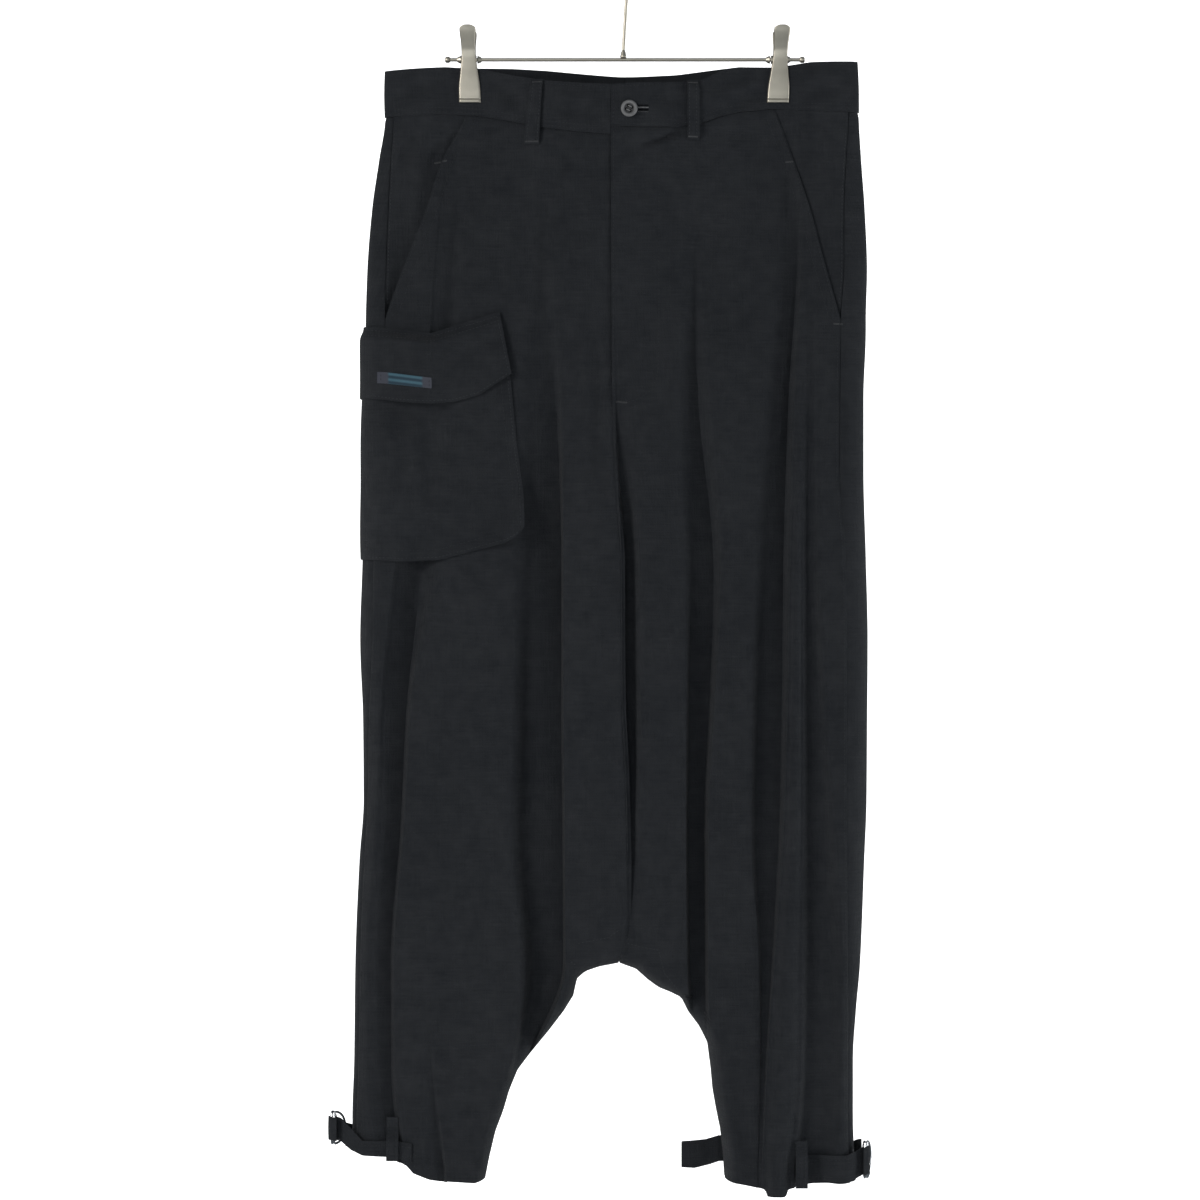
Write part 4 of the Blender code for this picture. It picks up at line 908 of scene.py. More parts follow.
for leg, side in outward.items():
    start = side * flyAcross + seamGap / 2
    reach = {"front": np.concatenate([[start], np.arange(start + 3, 17, 3.0), bandPlaces]),
             "back": np.concatenate([[seamGap / 2], np.arange(3, 17, 3.0), bandPlaces])}
    sheets = []
    for face in facing:
        columns = []
        for q in list(reach[face]) + [None] * len(bandTurns):
            across = np.full(15, side * (190.0 if q is None else q))
            for _ in range(3):
                top = over(waist[leg], face + "Top", across)
                bottom = seamDrop(leg, face, across) - seamGap / 2
                drops = top + (bottom - top) * bandRows
                if q is None:
                    turn = bandTurns[len(columns) - len(reach[face])]
                    across = down(outline[leg], "edge", drops) - side * 7 * (1 - math.cos(turn))
            columns.append(np.stack([across, clothDepth(leg, face, across, drops), -drops], -1))
        sheets.append(np.stack(columns, 1))
    grid = np.concatenate([sheets[0], sheets[1][:, -2::-1]], 1)
    normals = gridNormals(grid)
    if normals[:, 20, 1].mean() > 0:
        normals = -normals
    belly = 0.5 * np.sin(np.pi * bandRows)[:, None]
    inFront = grid[..., 1] < 0
    for points, half, deep in bandCreases[leg]:
        shape = creaseShape(points, half, grid[..., 0], -grid[..., 2])
        belly = belly - bandCreaseShare * deep * shape * inFront * np.sin(np.pi * bandRows)[:, None] ** 0.5
    clothFrom(f"waistband_{leg}_cloth", grid + normals * (bandProud + belly[..., None]), facing["front"],
              f"waistband_{leg}", bandWall, at=(7, 20))
print("waistband done")

# Cargo pocket round the right side seam: bag, flap and label

bag = {
    "lift": 1.6, "full": 1.6, "rows": 76, "top": table("across drop", (-225, 352), (-84, 352)),
    "bottom": table("across drop", (-225, 531), (-189, 533), (-156, 532), (-122, 523), (-100, 517.5), (-90, 512),
                    (-84, 503)),
    "edge": table("drop across", (324, -105), (340, -101), (375, -96), (430, -91), (472, -85.5), (506, -84.5),
                  (520, -90)),
}
flap = {
    "lift": 2.6, "rows": 40,
    "top": table("across drop", (-225, 335), (-162, 342), (-105, 324)),
    "bottom": table("across drop", (-225, 395), (-189, 400.3), (-164, 401.8), (-143, 400), (-122, 394), (-95, 376.5)),
    "edge": table("drop across", (324, -105), (375, -95)),
}
label = {"from": -204.8, "to": -161.7, "top": (375.3, 380.8), "bottom": (384.6, 389.4), "wall": 0.5, "lift": 0.25}
tape = tapeFinish("navyTape", label["from"] * mm, (label["to"] - label["from"]) * mm, 0.0054, 0.0046)
pocketBack = -196
pocketBend = -161.6
pocketRise = 7.5


def pocketDepth(leg, face, across, drop):
    # The pocket lies on the crests of the leg's folds and bridges the valleys between them.
    offsets = np.arange(-22, 23, 2.0)
    deep = np.stack([clothDepth(leg, face, across + offset, drop) for offset in offsets])
    crests = np.stack([deep[i:i + 12].min(0) if face == "front" else deep[i:i + 12].max(0) for i in range(12)])
    weights = np.exp(-((np.arange(12) - 5.5) * 2 / 8) ** 2)
    bridged = np.tensordot(weights / weights.sum(), crests, 1)
    inside = ease((across - down(outline[leg], "edge", drop) - 12) / 16)
    return deep[11] + (bridged - deep[11]) * inside


def roundSide(start, drop, stations):
    # Places from a start on the front, round the side edge, to the pocket's end on the back. Below 1 the
    # station lies on the flat front, from 1 to 2 it goes round the front's rounding, from 2 to 3 the back's.
    # On the front, a few stations lie close together at the pocket's bend.
    edge = down(outline["right"], "edge", drop)
    bend = down(middle, "round", drop)
    shares = (0, 0.62, 0.7, 1)
    marks = (start, pocketBend + 0.9, pocketBend - 0.9, edge + bend)
    flat = start + 0 * stations
    for i in range(3):
        part = np.clip((stations - shares[i]) / (shares[i + 1] - shares[i]), 0, 1)
        flat = flat + (marks[i + 1] - marks[i]) * part
    turn = np.clip(2 - stations, 0, 1) * np.pi / 2
    front = np.where(stations <= 1, flat, edge + bend * (1 - np.cos(turn)))
    lastTurn = np.arccos(np.clip(1 - (pocketBack - edge) / bend, -1, 1))
    back = edge + bend * (1 - np.cos(np.clip(stations - 2, 0, 1) * lastTurn))
    return np.where(stations <= 2, front, back), stations > 2


def pocketSurface(piece, relief):
    rows = np.linspace(0, 1, piece["rows"])[:, None]

    def dropAt(across):
        top, bottom = (over(piece[key], "drop", across) for key in ("top", "bottom"))
        return top + (bottom - top) * rows

    across = np.full((piece["rows"], pocketStations.size), -100.0)
    for _ in range(5):
        drops = dropAt(across)
        across, behind = roundSide(over(piece["edge"], "across", drops, "drop"), drops, pocketStations)
    drops = dropAt(across)
    lift = relief(across, drops)
    back, front = (onCloth("right", face, across, drops, lift, pocketDepth) for face in ("back", "front"))
    return np.where(behind[..., None], back, front)


pocketStations = chained((0, 0.62, 35), (0.62, 0.7, 4), (0.7, 1, 17), (1, 2, 13), (2, 3, 11))[None, :]


def sideRise(across):
    # The pocket stands off the leg beside its bend and comes back to it round the side.
    return ease((across + 214) / 24)


bagDents = (  # a line, half the width, the height, and whether it fades towards the bag's edges
    (((-180, 484), (-174, 468), (-171, 449)), 3, -1.4, False),
    (((-212, 401), (-190, 405), (-176, 409)), 4, -0.9, False),
    (((-150, 420), (-136, 455), (-132, 500)), 12, -1.0, True),
    (((-116, 400), (-110, 440), (-114, 480)), 12, 0.9, True),
)


def bagRelief(across, drops):
    # Full in the middle of the bag, close to the leg along its sewn edges.
    rows = np.linspace(0, 1, bag["rows"])[:, None]
    full = np.sin(np.pi * np.clip(pocketStations / 3, 0, 1)) ** 0.6 * np.sin(np.pi * rows ** 1.3) ** 0.7
    reach = 0.2 + 0.8 * ease((drops - 396) / 36) * ease((530 - drops) / 60)
    band = 6.0 * sideRise(across) * (1 - ease((across + 175) / (13 + 16 * ease((drops - 470) / 50)))) * reach
    corner = 4.0 * ease(((across + 113.7) * 0.834 + (drops - 512) * 0.552 + 2) / 15)
    waves = 0.3 * np.sin(across / 9 + drops / 60) + 0.22 * np.sin(drops / 17 + across / 21)
    waves = waves + 0.1 * np.sin(across / 4.1 - drops / 13)
    lift = bag["lift"] + bag["full"] * full + waves * full + band + corner
    for points, half, high, fades in bagDents:
        lift = lift + high * np.exp(-(lineGap(points, across, drops)[0] / half) ** 2) * (full if fades else 1)
    return lift


def flapRelief(across, drops):
    # A pressed bend runs down beside the label. The cloth is flat outside it and turns away inside it.
    inner = np.clip((across - pocketBend) / 44, 0, 1)
    rise = pocketRise * sideRise(across) * (1 - inner) ** 3
    rise = rise - 0.35 * ease((across - pocketBend + 0.9) / 1.8) * (1 - inner)
    hinge = ease((drops - over(flap["top"], "drop", across) - 1) / 10)
    waves = 0.2 * np.sin(across / 11 + drops / 23) + 0.12 * np.sin(across / 5.3 - drops / 9)
    corner = 0.9 * ease((across + 125) / 25) * ease((drops - 345) / 25)
    return bag["lift"] + 0.2 + (flap["lift"] + rise + waves + corner) * hinge


clothFrom("cargo_pocket_cloth", pocketSurface(bag, bagRelief), facing["front"], "cargo_pocket")
clothFrom("cargo_flap_cloth", pocketSurface(flap, flapRelief), facing["front"], "cargo_flap")
across = np.linspace(label["from"], label["to"], 28)[None, :] + np.zeros((8, 1))
share = (across - label["from"]) / (label["to"] - label["from"])
tops, bottoms = (label[key][0] + (label[key][1] - label[key][0]) * share for key in ("top", "bottom"))
drops = tops + (bottoms - tops) * np.linspace(0, 1, 8)[:, None]
lift = flapRelief(across, drops) + label["wall"] + label["lift"]
grid = onCloth("right", "front", across, drops, lift, pocketDepth)
clothFrom("flap_label_tape", grid, facing["front"], "flap_label", label["wall"], tape)
print("cargo pocket done")

# Belt loops: leg and face, across at the top and the bottom, drop at the top and the bottom, width at the bottom
loops = {
    "front_right": ("right", "front", -73.7, -78.4, 128, 182.5, 13),
    "front_left": ("left", "front", 56.8, 57, 129, 179, 10),
    "back_right": ("right", "back", -96, -97, 119, 166, 10),
    "back_middle": ("left", "back", 0, 0, 121.8, 170, 10),
    "back_left": ("left", "back", 96, 97, 118, 165, 10),
}
for name, (leg, face, topAcross, bottomAcross, top, bottom, wide) in loops.items():
    shares = np.linspace(0, 1, 30)[:, None]
    width = np.linspace(-0.5, 0.5, 9)[None, :] * (loopWidth + (wide - loopWidth) * shares)
    lift = 1.2 + 2.0 * ease(np.minimum(shares, 1 - shares) / 0.12) + 0.25 * np.cos(width / wide * np.pi)
    grid = onCloth(leg, face, topAcross + (bottomAcross - topAcross) * shares + width,
                   top + (bottom - top) * shares + 0 * width, lift)
    clothFrom(f"belt_loop_{name}_cloth", grid, facing[face], f"belt_loop_{name}", loopWall)
print("belt loops done")


# Ring tabs, hem straps and their loops

strap = {"wall": 1.1, "lie": 0.6, "ringWire": 2.0, "ringReach": 11, "foldBack": 6}
tabs = {
    "right": dict(start=-178, leave=-219, drops=(1012, 1031), fold=(-244.5, -17), swings=(75, 45),
                  tops=((-246, 996.5), (-238, 998), (-229, 1006), (-219, 1016), (-190, 1016), (-178, 1018)),
                  bottoms=((-246, 1016), (-238, 1017), (-229, 1024), (-219, 1028), (-192, 1029.5), (-178, 1034))),
    "left": dict(start=146, leave=186, drops=(1031, 1050), fold=(201, -14), swings=(110, 88),
                 tops=((146, 1029), (184, 1028.5), (193, 1026), (202, 1022)),
                 bottoms=((146, 1050), (184, 1050), (193, 1048.5), (202, 1045))),
}
foldRadius = strap["ringWire"] / 2 + 0.4 + clothWall


def restOn(leg, face, across, drops):
    # How far forward a strap lies that stands against the cloth round this place.
    near = across + np.linspace(-6, 6, 5)[:, None]
    deep = clothDepth(leg, face, near, np.linspace(drops[0] - 4, drops[-1] + 4, 6)[None, :])
    return facing[face] * ((deep * facing[face]).max() + (strap["lie"] + clothWall))


def strapOnLeg(leg, face, fromAcross, toAcross, drops):
    places = np.linspace(fromAcross, toAcross, max(3, int(abs(fromAcross - toAcross) / 4)))
    return [(x, restOn(leg, face, x, drops)) for x in places]


def refined(path, step=1.2):
    # A smooth line through a path's points, with a point every step.
    path = np.array(path, float)
    length = lengthAlong(path)
    at = np.linspace(0, length[-1], max(8, int(length[-1] / step)))
    line = np.stack([np.interp(at, length, path[:, k]) for k in range(path.shape[1])], -1)
    for _ in range(3):
        line[1:-1] = (line[:-2] + 2 * line[1:-1] + line[2:]) / 4
    return line


def strapEdges(each, places):
    return [np.interp(places, *np.array(sorted(each[key]), float).T) for key in ("tops", "bottoms")]


def standing(name, path, each, way, node):
    # A strap along a path of (across, forward) points, standing between its top and bottom edges.
    line = refined(path)
    top, bottom = strapEdges(each, line[:, 0])
    rows = np.linspace(0, 1, 11)[:, None]
    drops = top + (bottom - top) * rows
    aside = unit(np.stack([np.gradient(line[:, 1]), -np.gradient(line[:, 0])], -1))
    flat = line + 0.25 * np.sin(np.pi * rows)[..., None] * aside
    clothFrom(name, np.concatenate([flat, -drops[..., None]], -1), way, node, strap["wall"])


def tube(name, points, width, finish, node=None, closed=False, sides=12):
    curve = bpy.data.curves.new(name, "CURVE")
    curve.dimensions = "3D"
    curve.bevel_depth = width / 2 * mm
    curve.bevel_resolution = sides // 4
    curve.use_fill_caps = True
    spline = curve.splines.new("POLY")
    spline.points.add(len(points) - 1)
    for spot, point in zip(spline.points, points):
        spot.co = (*(Vector(point) * mm), 1)
    spline.use_cyclic_u = closed
    drawn = added(name + "_line", curve)
    mesh = bpy.data.meshes.new_from_object(drawn)
    bpy.data.objects.remove(drawn, do_unlink=True)
    mesh.name = name
    return place(finished(name, mesh), finish, node)


tabPaths, strapPaths = {}, {}
for leg, tab in tabs.items():
    path = strapOnLeg(leg, "front", tab["start"], tab["leave"], tab["drops"])
    foldAt = np.array(tab["fold"], float)
    ahead = unit(foldAt - path[-1])
    front = np.array([ahead[1], -ahead[0]]) * outward[leg]
    tabPaths[leg] = np.array(sorted(path))
    path += [tuple(path[-1] + (foldAt - path[-1]) * part) for part in (0.2, 0.4, 0.6, 0.8)]
    for angle in np.linspace(0, math.pi, 17):
        path.append(tuple(foldAt + foldRadius * (front * (1 - math.cos(angle)) + ahead * math.sin(angle))))
    path.append(tuple(foldAt + 2 * foldRadius * front - ahead * strap["foldBack"]))
    standing(f"ring_tab_{leg}_cloth", path, tab, facing["front"], f"ring_tab_{leg}")
    end = 0 if leg == "right" else -1
    top, bottom = tab["tops"][end][1] - 3.5, tab["bottoms"][end][1] + 3.5
    for i, swing in enumerate(tab["swings"]):
        bar = foldAt + foldRadius * front - ahead * i * (strap["ringWire"] + 0.3)
        turn = math.radians(swing)
        away = np.array([-outward[leg] * math.cos(turn), math.sin(turn)])
        high = (bottom - top) / 2
        points = [(*bar, -(top + 1.5)), (*bar, -(top + bottom) / 2), (*bar, -(bottom - 1.5))]
        for angle in np.linspace(math.pi, 0, 33):
            reach = 1.2 + strap["ringReach"] * math.sin(angle)
            points.append((*(bar + away * reach), -(top + high) + high * math.cos(angle)))
        tube(f"d_ring_{leg}_{i + 1}_steel", points, strap["ringWire"], steel, f"d_ring_{leg}_{i + 1}", closed=True)

hemStraps = {
    "right": dict(first=[(-236, 6), (-231, 14)], on=(-222, -134, (1016, 1037)), last=[],
                  tops=((-236, 1006), (-222, 1014), (-134, 1018)), bottoms=((-236, 1026), (-222, 1035), (-134, 1040))),
    "left": dict(first=[(200, 8), (197, 16)], on=(188, 92, (1026, 1047)),
                 last=[(80, 25), (70, 23.5), (59, 20), (48, 18)],
                 tops=((48, 1024), (69, 1023), (80, 1020), (92, 1022), (188, 1028), (200, 1020)),
                 bottoms=((48, 1046), (59, 1047), (72, 1044.5), (80, 1042), (188, 1048), (200, 1040))),
}
for leg, each in hemStraps.items():
    path = each["first"] + strapOnLeg(leg, "back", *each["on"]) + each["last"]
    strapPaths[leg] = np.array(sorted(path))
    standing(f"hem_strap_{leg}_cloth", path, each, facing["back"], f"hem_strap_{leg}")

hemLoops = (
    ("right", "front", -194, 996, 1032, (1016, 1030)), ("left", "front", 147, 1016, 1055, (1030, 1050)),
    ("right", "back", -180, 1000, 1043, (1017, 1039)), ("left", "back", 120, 1008, 1052, (1025, 1048)))
for leg, face, across, top, bottom, (strapTop, strapBottom) in hemLoops:
    way = facing[face]
    path = tabPaths[leg] if face == "front" else strapPaths[leg]
    near = np.interp(np.linspace(across - 7, across + 7, 8), *path.T)
    above = (near * way).max() + clothWall + strap["lie"] + clothWall
    rows = []
    for drop in (top, strapTop - 8):
        rest = clothDepth(leg, face, across + np.linspace(-5, 5, 5), drop + np.zeros(5)) * way
        rows.append((drop, rest.max() + strap["lie"] + 0.5))
    rows += [(strapTop - 1.5, above), ((strapTop + strapBottom) / 2, above + 0.2), (bottom, above)]
    line = refined(rows, 1.5)
    width = np.linspace(-loopWidth / 2, loopWidth / 2, 9)
    grid = np.stack(np.broadcast_arrays(across + width, line[:, 1:] * way, -line[:, :1]), -1)
    clothFrom(f"hem_loop_{face}_{leg}_cloth", grid, way, f"hem_loop_{face}_{leg}", loopWall)
print("straps and rings done")


# The button, turned, with a sunk middle, four near-black discs of painted shade for its holes, and its thread

def turned(name, profile, axis, centre, steps, finish, node=None):
    bm = bmesh.new()
    ahead = Vector([axis == one for one in "XYZ"])
    up = Vector((1, 0, 0)) if axis == "Z" else Vector((0, 0, 1))
    spots = [bm.verts.new((ahead * along + up * radius) * mm) for along, radius in profile]
    for first, second in zip(spots, spots[1:]):
        bm.edges.new((first, second))
    bmesh.ops.spin(bm, geom=bm.verts[:] + bm.edges[:], axis=ahead, cent=(0, 0, 0), angle=2 * math.pi,
                   steps=steps, use_merge=True)
    bmesh.ops.remove_doubles(bm, verts=bm.verts, dist=0.000005)
    bmesh.ops.recalc_face_normals(bm, faces=bm.faces)
    bmesh.ops.translate(bm, verts=bm.verts, vec=Vector(centre) * mm)
    place(keep(name, bm, 40), finish, node)


button = {"across": 3.4, "drop": 154, "radius": 7.0, "well": 4.4, "hole": 1.35, "holeReach": 2.4, "turn": 18}
# The button's finish paints its well darker within this radius, as painted shade.
plastic = plasticFinish("greyButton", button["across"], button["drop"], button["well"])
buttonOut = float(clothDepth("left", "front", button["across"], button["drop"])) - bandProud - 0.85
profile = [(0, 0), (-0.2, 6.3), (-0.6, 7.1), (-1.2, 7.5), (-1.9, 7.45), (-2.4, 7.0), (-2.75, 6.4), (-2.8, 6.0),
           (-2.7, 5.5), (-2.4, 4.9), (-1.9, 4.4), (-1.7, 4.1), (-1.65, 3), (-1.65, 0)]
profile = [(along, radius * button["radius"] / 7.5) for along, radius in profile]
middleSpot = Vector((button["across"], buttonOut, -button["drop"]))
turned("waist_button_plastic", profile, "Y", middleSpot, 64, plastic, "waist_button")
corners = [Vector((math.cos(turn), 0, math.sin(turn))) * button["holeReach"]
           for turn in (math.radians(button["turn"] + 90 * i) for i in range(4))]
wide = button["hole"]
# Each hole is a near-black disc laid just in front of the well: painted shade where the hole would be.
for i, corner in enumerate(corners):
    turned(f"button_hole_shade_{i + 1}", [(-0.12, 0), (-0.1, wide * 0.9), (0, wide), (0.3, wide), (0.3, 0)], "Y",
           middleSpot + corner + Vector((0, -1.6, 0)), 16, paintedHoleShade)
for i in (0, 2):
    points = [middleSpot + corners[i].lerp(corners[i + 1], part) + Vector((0, -1.95 - 1.4 * part * (1 - part), 0))
              for part in np.linspace(0, 1, 9)]
    tube(f"button_thread_{i // 2 + 1}", points, 0.9, paleThread, sides=8)
print("button done")

# The hanger: rod, hook and clips

rod = {"half": 151.5, "end": [(0, 0), (0, 1.4), (0.4, 2.2), (1.2, 2.6), (3.3, 2.6), (4.1, 2.0), (4.5, 1.5)]}
profile = [(-rod["half"] + along, radius) for along, radius in rod["end"]]
for clip in clipAcross:
    for way in (-1, 1):
        inner, outer = clip + way * 6.7, clip + way * 10.2
        collar = [(inner, 1.5), (inner, 3.0), (inner + way * 0.5, 3.3), (inner + way * 1.5, 3.0), (outer, 2.0),
                  (outer, 1.5)]
        profile += collar[::way]
profile += [(rod["half"] - along, radius) for along, radius in rod["end"][::-1]]
turned("hanger_rod_metal", profile, "X", (0, 0, -rodDrop), 32, nickel, "hanger_rod")
hook = {"across": -1.3, "wire": 2.8, "radius": 23.4, "centre": -22, "turns": (-58, 196)}
foot = [(0, 0), (0, 2.5), (0.4, 2.7), (1.6, 2.7), (2.4, 2.2), (4.8, 1.9), (5.6, 1.5), (5.6, 0)]
turned("hook_foot_metal", foot, "Z", (hook["across"], 0, -rodDrop + 1.8), 32, nickel, "hook_foot")
points = [(hook["across"], 0, -rodDrop + 7.8), (-0.6, 0, -88), (0.2, 0, -76), (0.9, 0, -64), (2, 0, -56),
          (5.5, 0, -49.5), (10.5, 0, -44.3)]
for angle in np.linspace(*hook["turns"], 30):
    turn = math.radians(angle)
    points.append((math.cos(turn) * hook["radius"], 0, hook["centre"] + math.sin(turn) * hook["radius"]))
tube("hanger_hook_metal", refined(points, 1.5), hook["wire"], nickel, "hanger_hook", sides=20)

jaw = table(
    "drop half away",
    (83, 5.0, 12.8), (84.5, 6.6, 12.2), (87, 6.9, 11.4), (91, 6.6, 9.8), (98, 6.0, 6.8), (104, 5.9, 4.6), (110, 6.2, 4),
    (117, 7.0, 4), (126, 8.1, 4.3), (132, 8.9, 4.3), (136, 9.1, 4.3), (141, 9.2, 4.1), (146.8, 9.2, 4))
drops = np.concatenate([np.linspace(83, 141, 42), np.linspace(142, 146.8, 17)])[:, None]
across = np.concatenate([np.linspace(-1, -0.86, 5), np.linspace(-0.78, 0.78, 11), np.linspace(0.86, 1, 5)])
barrel = [(-6, 1.85), (-6, 3.4), (-5.8, 3.6), (5.8, 3.6), (6, 3.4), (6, 1.85), (-6, 1.85)]
wide, away = (smooth(jaw["drop"], jaw[key], drops) for key in ("half", "away"))
share = (drops - drops[0]) / np.ptp(drops)
wide = wide * (np.sqrt(1 - np.clip(1 - share * 30, 0, 1) ** 2) * 0.25 + 0.75)
groove = 0.55 * np.exp(-((drops - 144) / 0.45) ** 2) + 0.5 * np.clip((drops - 146.2) / 0.6, 0, 1)
bow = 0.25 * across ** 2 + 1.5 * np.clip((np.abs(across) - 0.87) / 0.13, 0, 1) ** 2
jawEnds = {"right": (clipAcross[0], -132.2, -130.4), "left": (clipAcross[1], 132, 128.6)}
for name, (clip, topAcross, bottomAcross) in jawEnds.items():
    turned(f"clip_barrel_{name}_metal", barrel, "X", (clip, 0, -rodDrop), 32, nickel, f"clip_barrel_{name}")
    for face, way in facing.items():
        outer = np.stack(np.broadcast_arrays(topAcross + (bottomAcross - topAcross) * share + wide * across,
                                             way * (away + 1.9 - groove - bow), -drops), -1)
        place(wallFrom(f"clip_{name}_{face}_metal", outer, way, 1.3, sharp=40), nickel, f"clip_{name}_{face}")
print("hanger done")


# Sewing: each stitch is a small rounded grain of thread laid on the cloth

sewing = {"pitch": 3.1, "long": 2.2, "wide": 0.5, "high": 0.36, "tackPitch": 0.55, "tackLong": 2.1}


def clothTree(pieces):
    bm = bmesh.new()
    for piece in pieces.split():
        bm.from_mesh(bpy.data.objects[piece].data)
    tree = BVHTree.FromBMesh(bm)
    bm.free()
    return tree


def sew(name, pieces, lines, face="front", finish=blackThread, tack=0):
    # Lines of (across, drop) points, seen from the front or the back. A tack is a close row of stitches set
    # crosswise, and its number is their share of the usual length. Pieces are named with spaces between.
    tree = clothTree(pieces)
    out = Vector((0, facing[face], 0))
    pitch, long = (sewing["tackPitch"], sewing["tackLong"] * tack) if tack else (sewing["pitch"], sewing["long"])
    bm = bmesh.new()

    def touch(across, drop):
        return tree.ray_cast(Vector((across, 0, -drop)) * mm + out * 0.3, -out)

    for line in lines:
        line = np.array(line, float)
        length = lengthAlong(line)
        for at in np.arange(pitch / 2, length[-1], pitch):
            ends = []
            for reach in (at - long / 2, at + long / 2, at):
                reach = min(max(reach, 0), length[-1])
                spot, normal, _, _ = touch(*(np.interp(reach, length, line[:, k]) for k in (0, 1)))
                ends.append(spot)
            if None in ends or (ends[1] - ends[0]).length > 2.5 * long * mm:
                continue
            normal = normal if normal.dot(out) > 0 else -normal
            along = (ends[1] - ends[0]).normalized()
            aside = normal.cross(along).normalized()
            if tack:
                along, aside = aside, along
            axes = Matrix((along * long / 2, aside * sewing["wide"] / 2, normal * sewing["high"] / 2)).transposed()
            bmesh.ops.create_icosphere(bm, subdivisions=1, radius=mm,
                                       matrix=Matrix.Translation(ends[2] + normal * 0.06 * mm) @ axes.to_4x4())
    bmesh.ops.recalc_face_normals(bm, faces=bm.faces)
    place(keep(name, bm, 180), finish)


def lineAlong(rows, key, first, last, shift, count=60):
    places = np.linspace(first, last, count)
    return np.stack([places, over(rows, key, places) + shift], -1)


def lineDown(rows, key, first, last, shift, count=60):
    drops = np.linspace(first, last, count)
    return np.stack([down(rows, key, drops) + shift, drops], -1)


for leg, side in outward.items():
    ends = {"front": (side * 16 if leg == "right" else -9.5, side * 192), "back": (side * 2, side * 192)}
    for face, reach in ends.items():
        rows = [lineAlong(waist[leg], face + key, *reach, shift)
                for key, shift in (("Top", 2.4), ("Seam", -2.6), ("Seam", -6.2))]
        if (leg, face) == ("left", "front"):
            rows.append([(-9.8, 137), (-9.6, 166)])
        sew(f"band_stitches_{face}_{leg}", f"waistband_{leg}_cloth", rows, face)
        ground = hem[leg]["across"]
        rows = [lineAlong(hem[leg], "drop", ground.min() + 4, ground.max() - 4, -15)]
        if face == "front":
            rows.append(lineDown(outline[leg], "sideSeam", 345, 1020, -side * 2.6))
        sew(f"leg_stitches_{face}_{leg}", f"{face}_{leg}_cloth", rows, face)
for leg, side in outward.items():
    rows = [lineDown(pocketMouth[leg], "across", 160, 326, -side * inset) for inset in (2.0, 9.6)]
    sew(f"mouth_stitches_{leg}", f"front_{leg}_cloth", rows)
    sew(f"hip_stitches_{leg}", f"hip_piece_{leg}", [lineDown(outline[leg], "sideSeam", 172, 318, -side * 1.8)],
        "front", slateThreadAndHighlight)

flapEdge = lineAlong(flap["bottom"], "drop", -216, -98, -2.4, 40)
flapTop = lineAlong(flap["top"], "drop", -216, -107, 3, 40)
bagEdge = lineAlong(bag["bottom"], "drop", -218, -88, -2.6, 50)
drops = np.linspace(378, 500, 30)
bagSide = np.stack([over(bag["edge"], "across", drops, "drop") - 2.4, drops], -1)
seams = (  # name, pieces, lines, and where they differ the face and the thread
    ("fly_stitches", "front_left_cloth", [
        [(28.4, 174), (28.4, 250), (28.3, 330), (28.0, 368), (26, 381), (20, 391), (12, 396.5), (3, 399.5)],
        [(-9.8, 172), (-9.9, 300), (-9.2, 396)], lineDown(middle, "front", 406, 850, 2.4)]),
    ("gusset_stitches", "front_left_cloth", [[(1, 851), (16, 854.3), (27.8, 856.5), (32.8, 876), (44, 890)]],
     "front", slateThreadAndHighlight),
    ("crotch_stitches", "front_right_cloth", [[(-40, 851), (-27, 848.5), (-14.3, 846), (-5.5, 840)],
                                              [(-46, 866), (-41, 869)]], "front", slateThreadAndHighlight),
    ("seat_stitches_right", "back_right_cloth", [lineDown(middle, "back", 170, 850, -2.6)], "back"),
    ("seat_stitches_left", "back_left_cloth", [lineDown(middle, "back", 170, 850, 2.6)], "back"),
    ("flap_stitches", "cargo_flap_cloth", [flapEdge, flapTop, [(-107.2, 327), (-97.6, 372)], flapTop + (0, 4.5)],
     "front", slateThreadAndHighlight),
    ("bag_stitches", "cargo_pocket_cloth", [bagEdge, bagSide], "front", slateThreadAndHighlight),
    ("bag_inner_stitches", "cargo_pocket_cloth", [bagSide - (6, 0), bagEdge[bagEdge[:, 0] < -96] - (0, 6.5)]),
    ("label_stitches", "flap_label_tape", [[(-203.5, 376.5), (-203.5, 383.6)], [(-163, 381.8), (-163, 388.2)]]),
)
for seam in seams:
    sew(*seam)
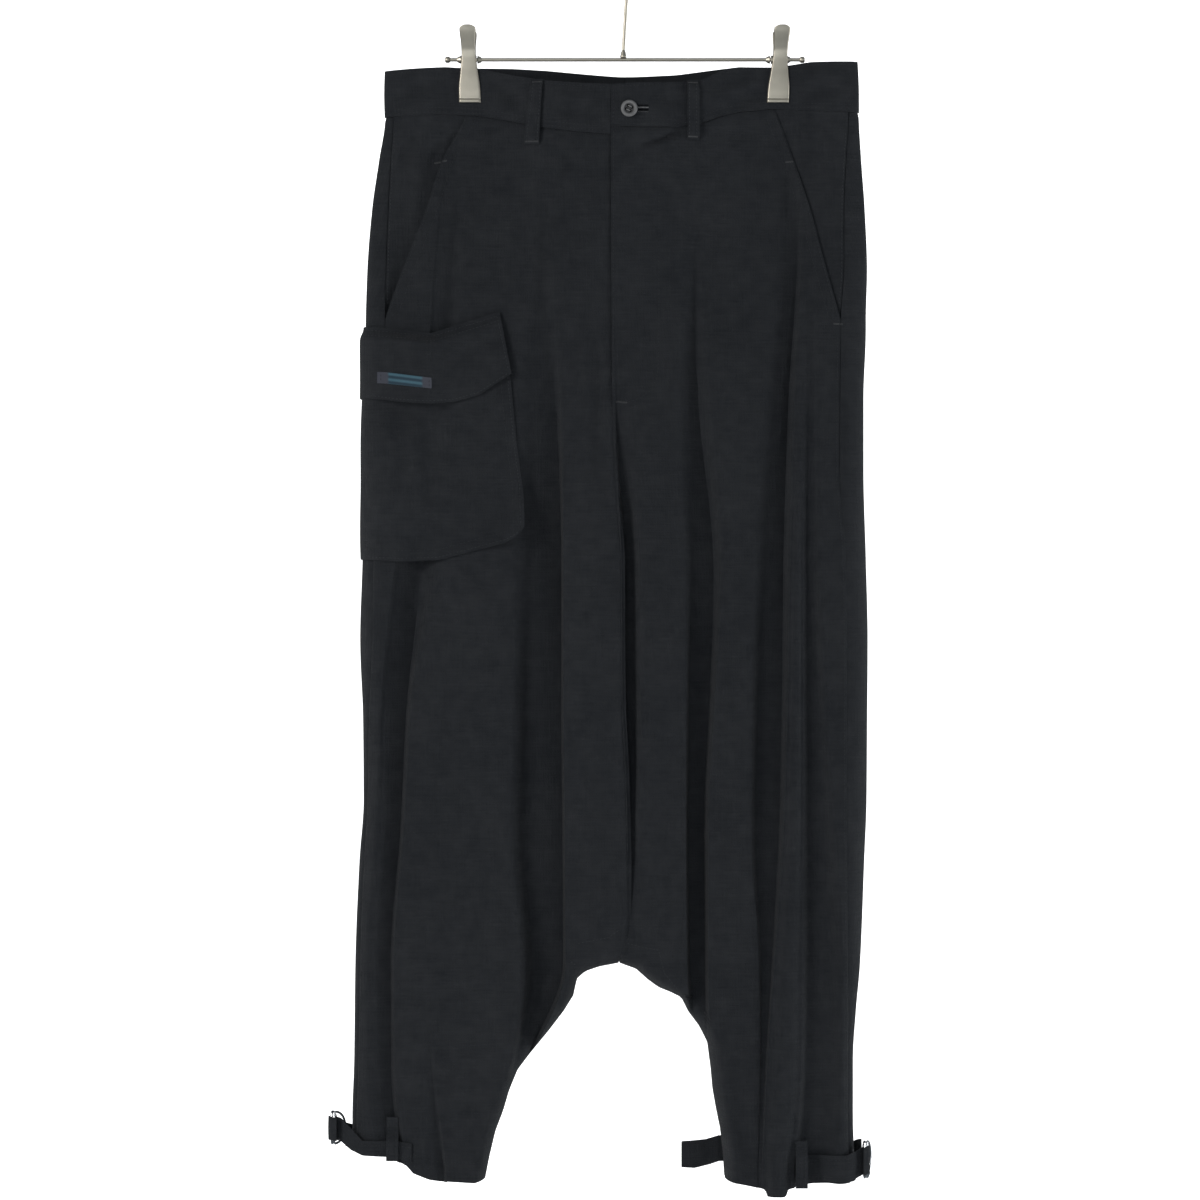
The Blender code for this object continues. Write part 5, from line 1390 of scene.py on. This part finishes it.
for name, (leg, face, topAcross, bottomAcross, top, bottom, wide) in loops.items():
    # The loops' lighter stitch lines are partly painted highlight along the loops' lit edges.
    rows = [[(topAcross + way * 3, top + 3), (bottomAcross + way * (wide / 2 - 2), bottom - 3)] for way in (-1, 1)]
    sew(f"loop_stitches_{name}", f"belt_loop_{name}_cloth", rows, face, slateThreadAndHighlight)
    tacks = [[(topAcross - 4.2, top + 2.2), (topAcross + 4.2, top + 2.2)],
             [(bottomAcross + 0.8 - wide / 2, bottom - 2.4), (bottomAcross - 0.8 + wide / 2, bottom - 2.4)]]
    sew(f"loop_tacks_{name}", f"belt_loop_{name}_cloth", tacks, face, greyThread, 1)
tacks = (  # name, pieces, lines
    ("tacks_right", "front_right_cloth hip_piece_right", [[(-160.5, 197.5), (-149.5, 195.5)]]),
    ("tacks_left", "front_left_cloth", [[(135, 196.5), (147, 195.5)], [(-7.6, 399.2), (1.7, 400)]]),
    ("tacks_mouth", "front_left_cloth hip_piece_left back_left_cloth", [[(174.3, 334), (182, 334)]]),
)
for seam in tacks:
    sew(*seam, "front", greyThread, 1)
# The rim and slit rows are near-black painted shade: a painted shadow line above the buttonhole and its dark opening.
# The edge and fold rows are thread.
hole = {"from": 10.8, "to": 19.4, "rows": (  # name, drop, share of a tack's length, thread
    ("rim", 151.2, 0.6, paintedHoleShade), ("edge", 152.9, 0.65, paleThread),
    ("slit", 154.9, 0.95, paintedHoleShade), ("fold", 156.5, 0.5, greyThread))}
for row, drop, share, thread in hole["rows"]:
    sew(f"buttonhole_{row}", "waistband_left_cloth", [[(hole["from"], drop), (hole["to"], drop)]], "front", thread,
        share)


def sewEdges(name, piece, each, first, last, count, inset, face="front"):
    places = np.linspace(first, last, count)
    top, bottom = strapEdges(each, places)
    sew(name, piece, [np.stack([places, top + inset], -1), np.stack([places, bottom - inset], -1)], face)


for leg, first, last, face in (("right", -232, -138, "back"), ("left", 52, 196, "back"), ("left", 52, 80, "front")):
    sewEdges(f"hem_strap_{leg}_stitches_{face}", f"hem_strap_{leg}_cloth", hemStraps[leg], first, last, 30, 3.6, face)
for leg, tab in tabs.items():
    sewEdges(f"ring_tab_{leg}_stitches", f"ring_tab_{leg}_cloth", tab, tab["start"],
             tab["fold"][0] - outward[leg] * 4, 20, 3.4)
for leg, face, across, top, bottom, _ in hemLoops:
    sew(f"hem_loop_{face}_{leg}_stitches", f"hem_loop_{face}_{leg}_cloth",
        [[(across + inset, top + 2), (across + inset, bottom - 2)] for inset in (-3, 3)], face)
print("sewing done")
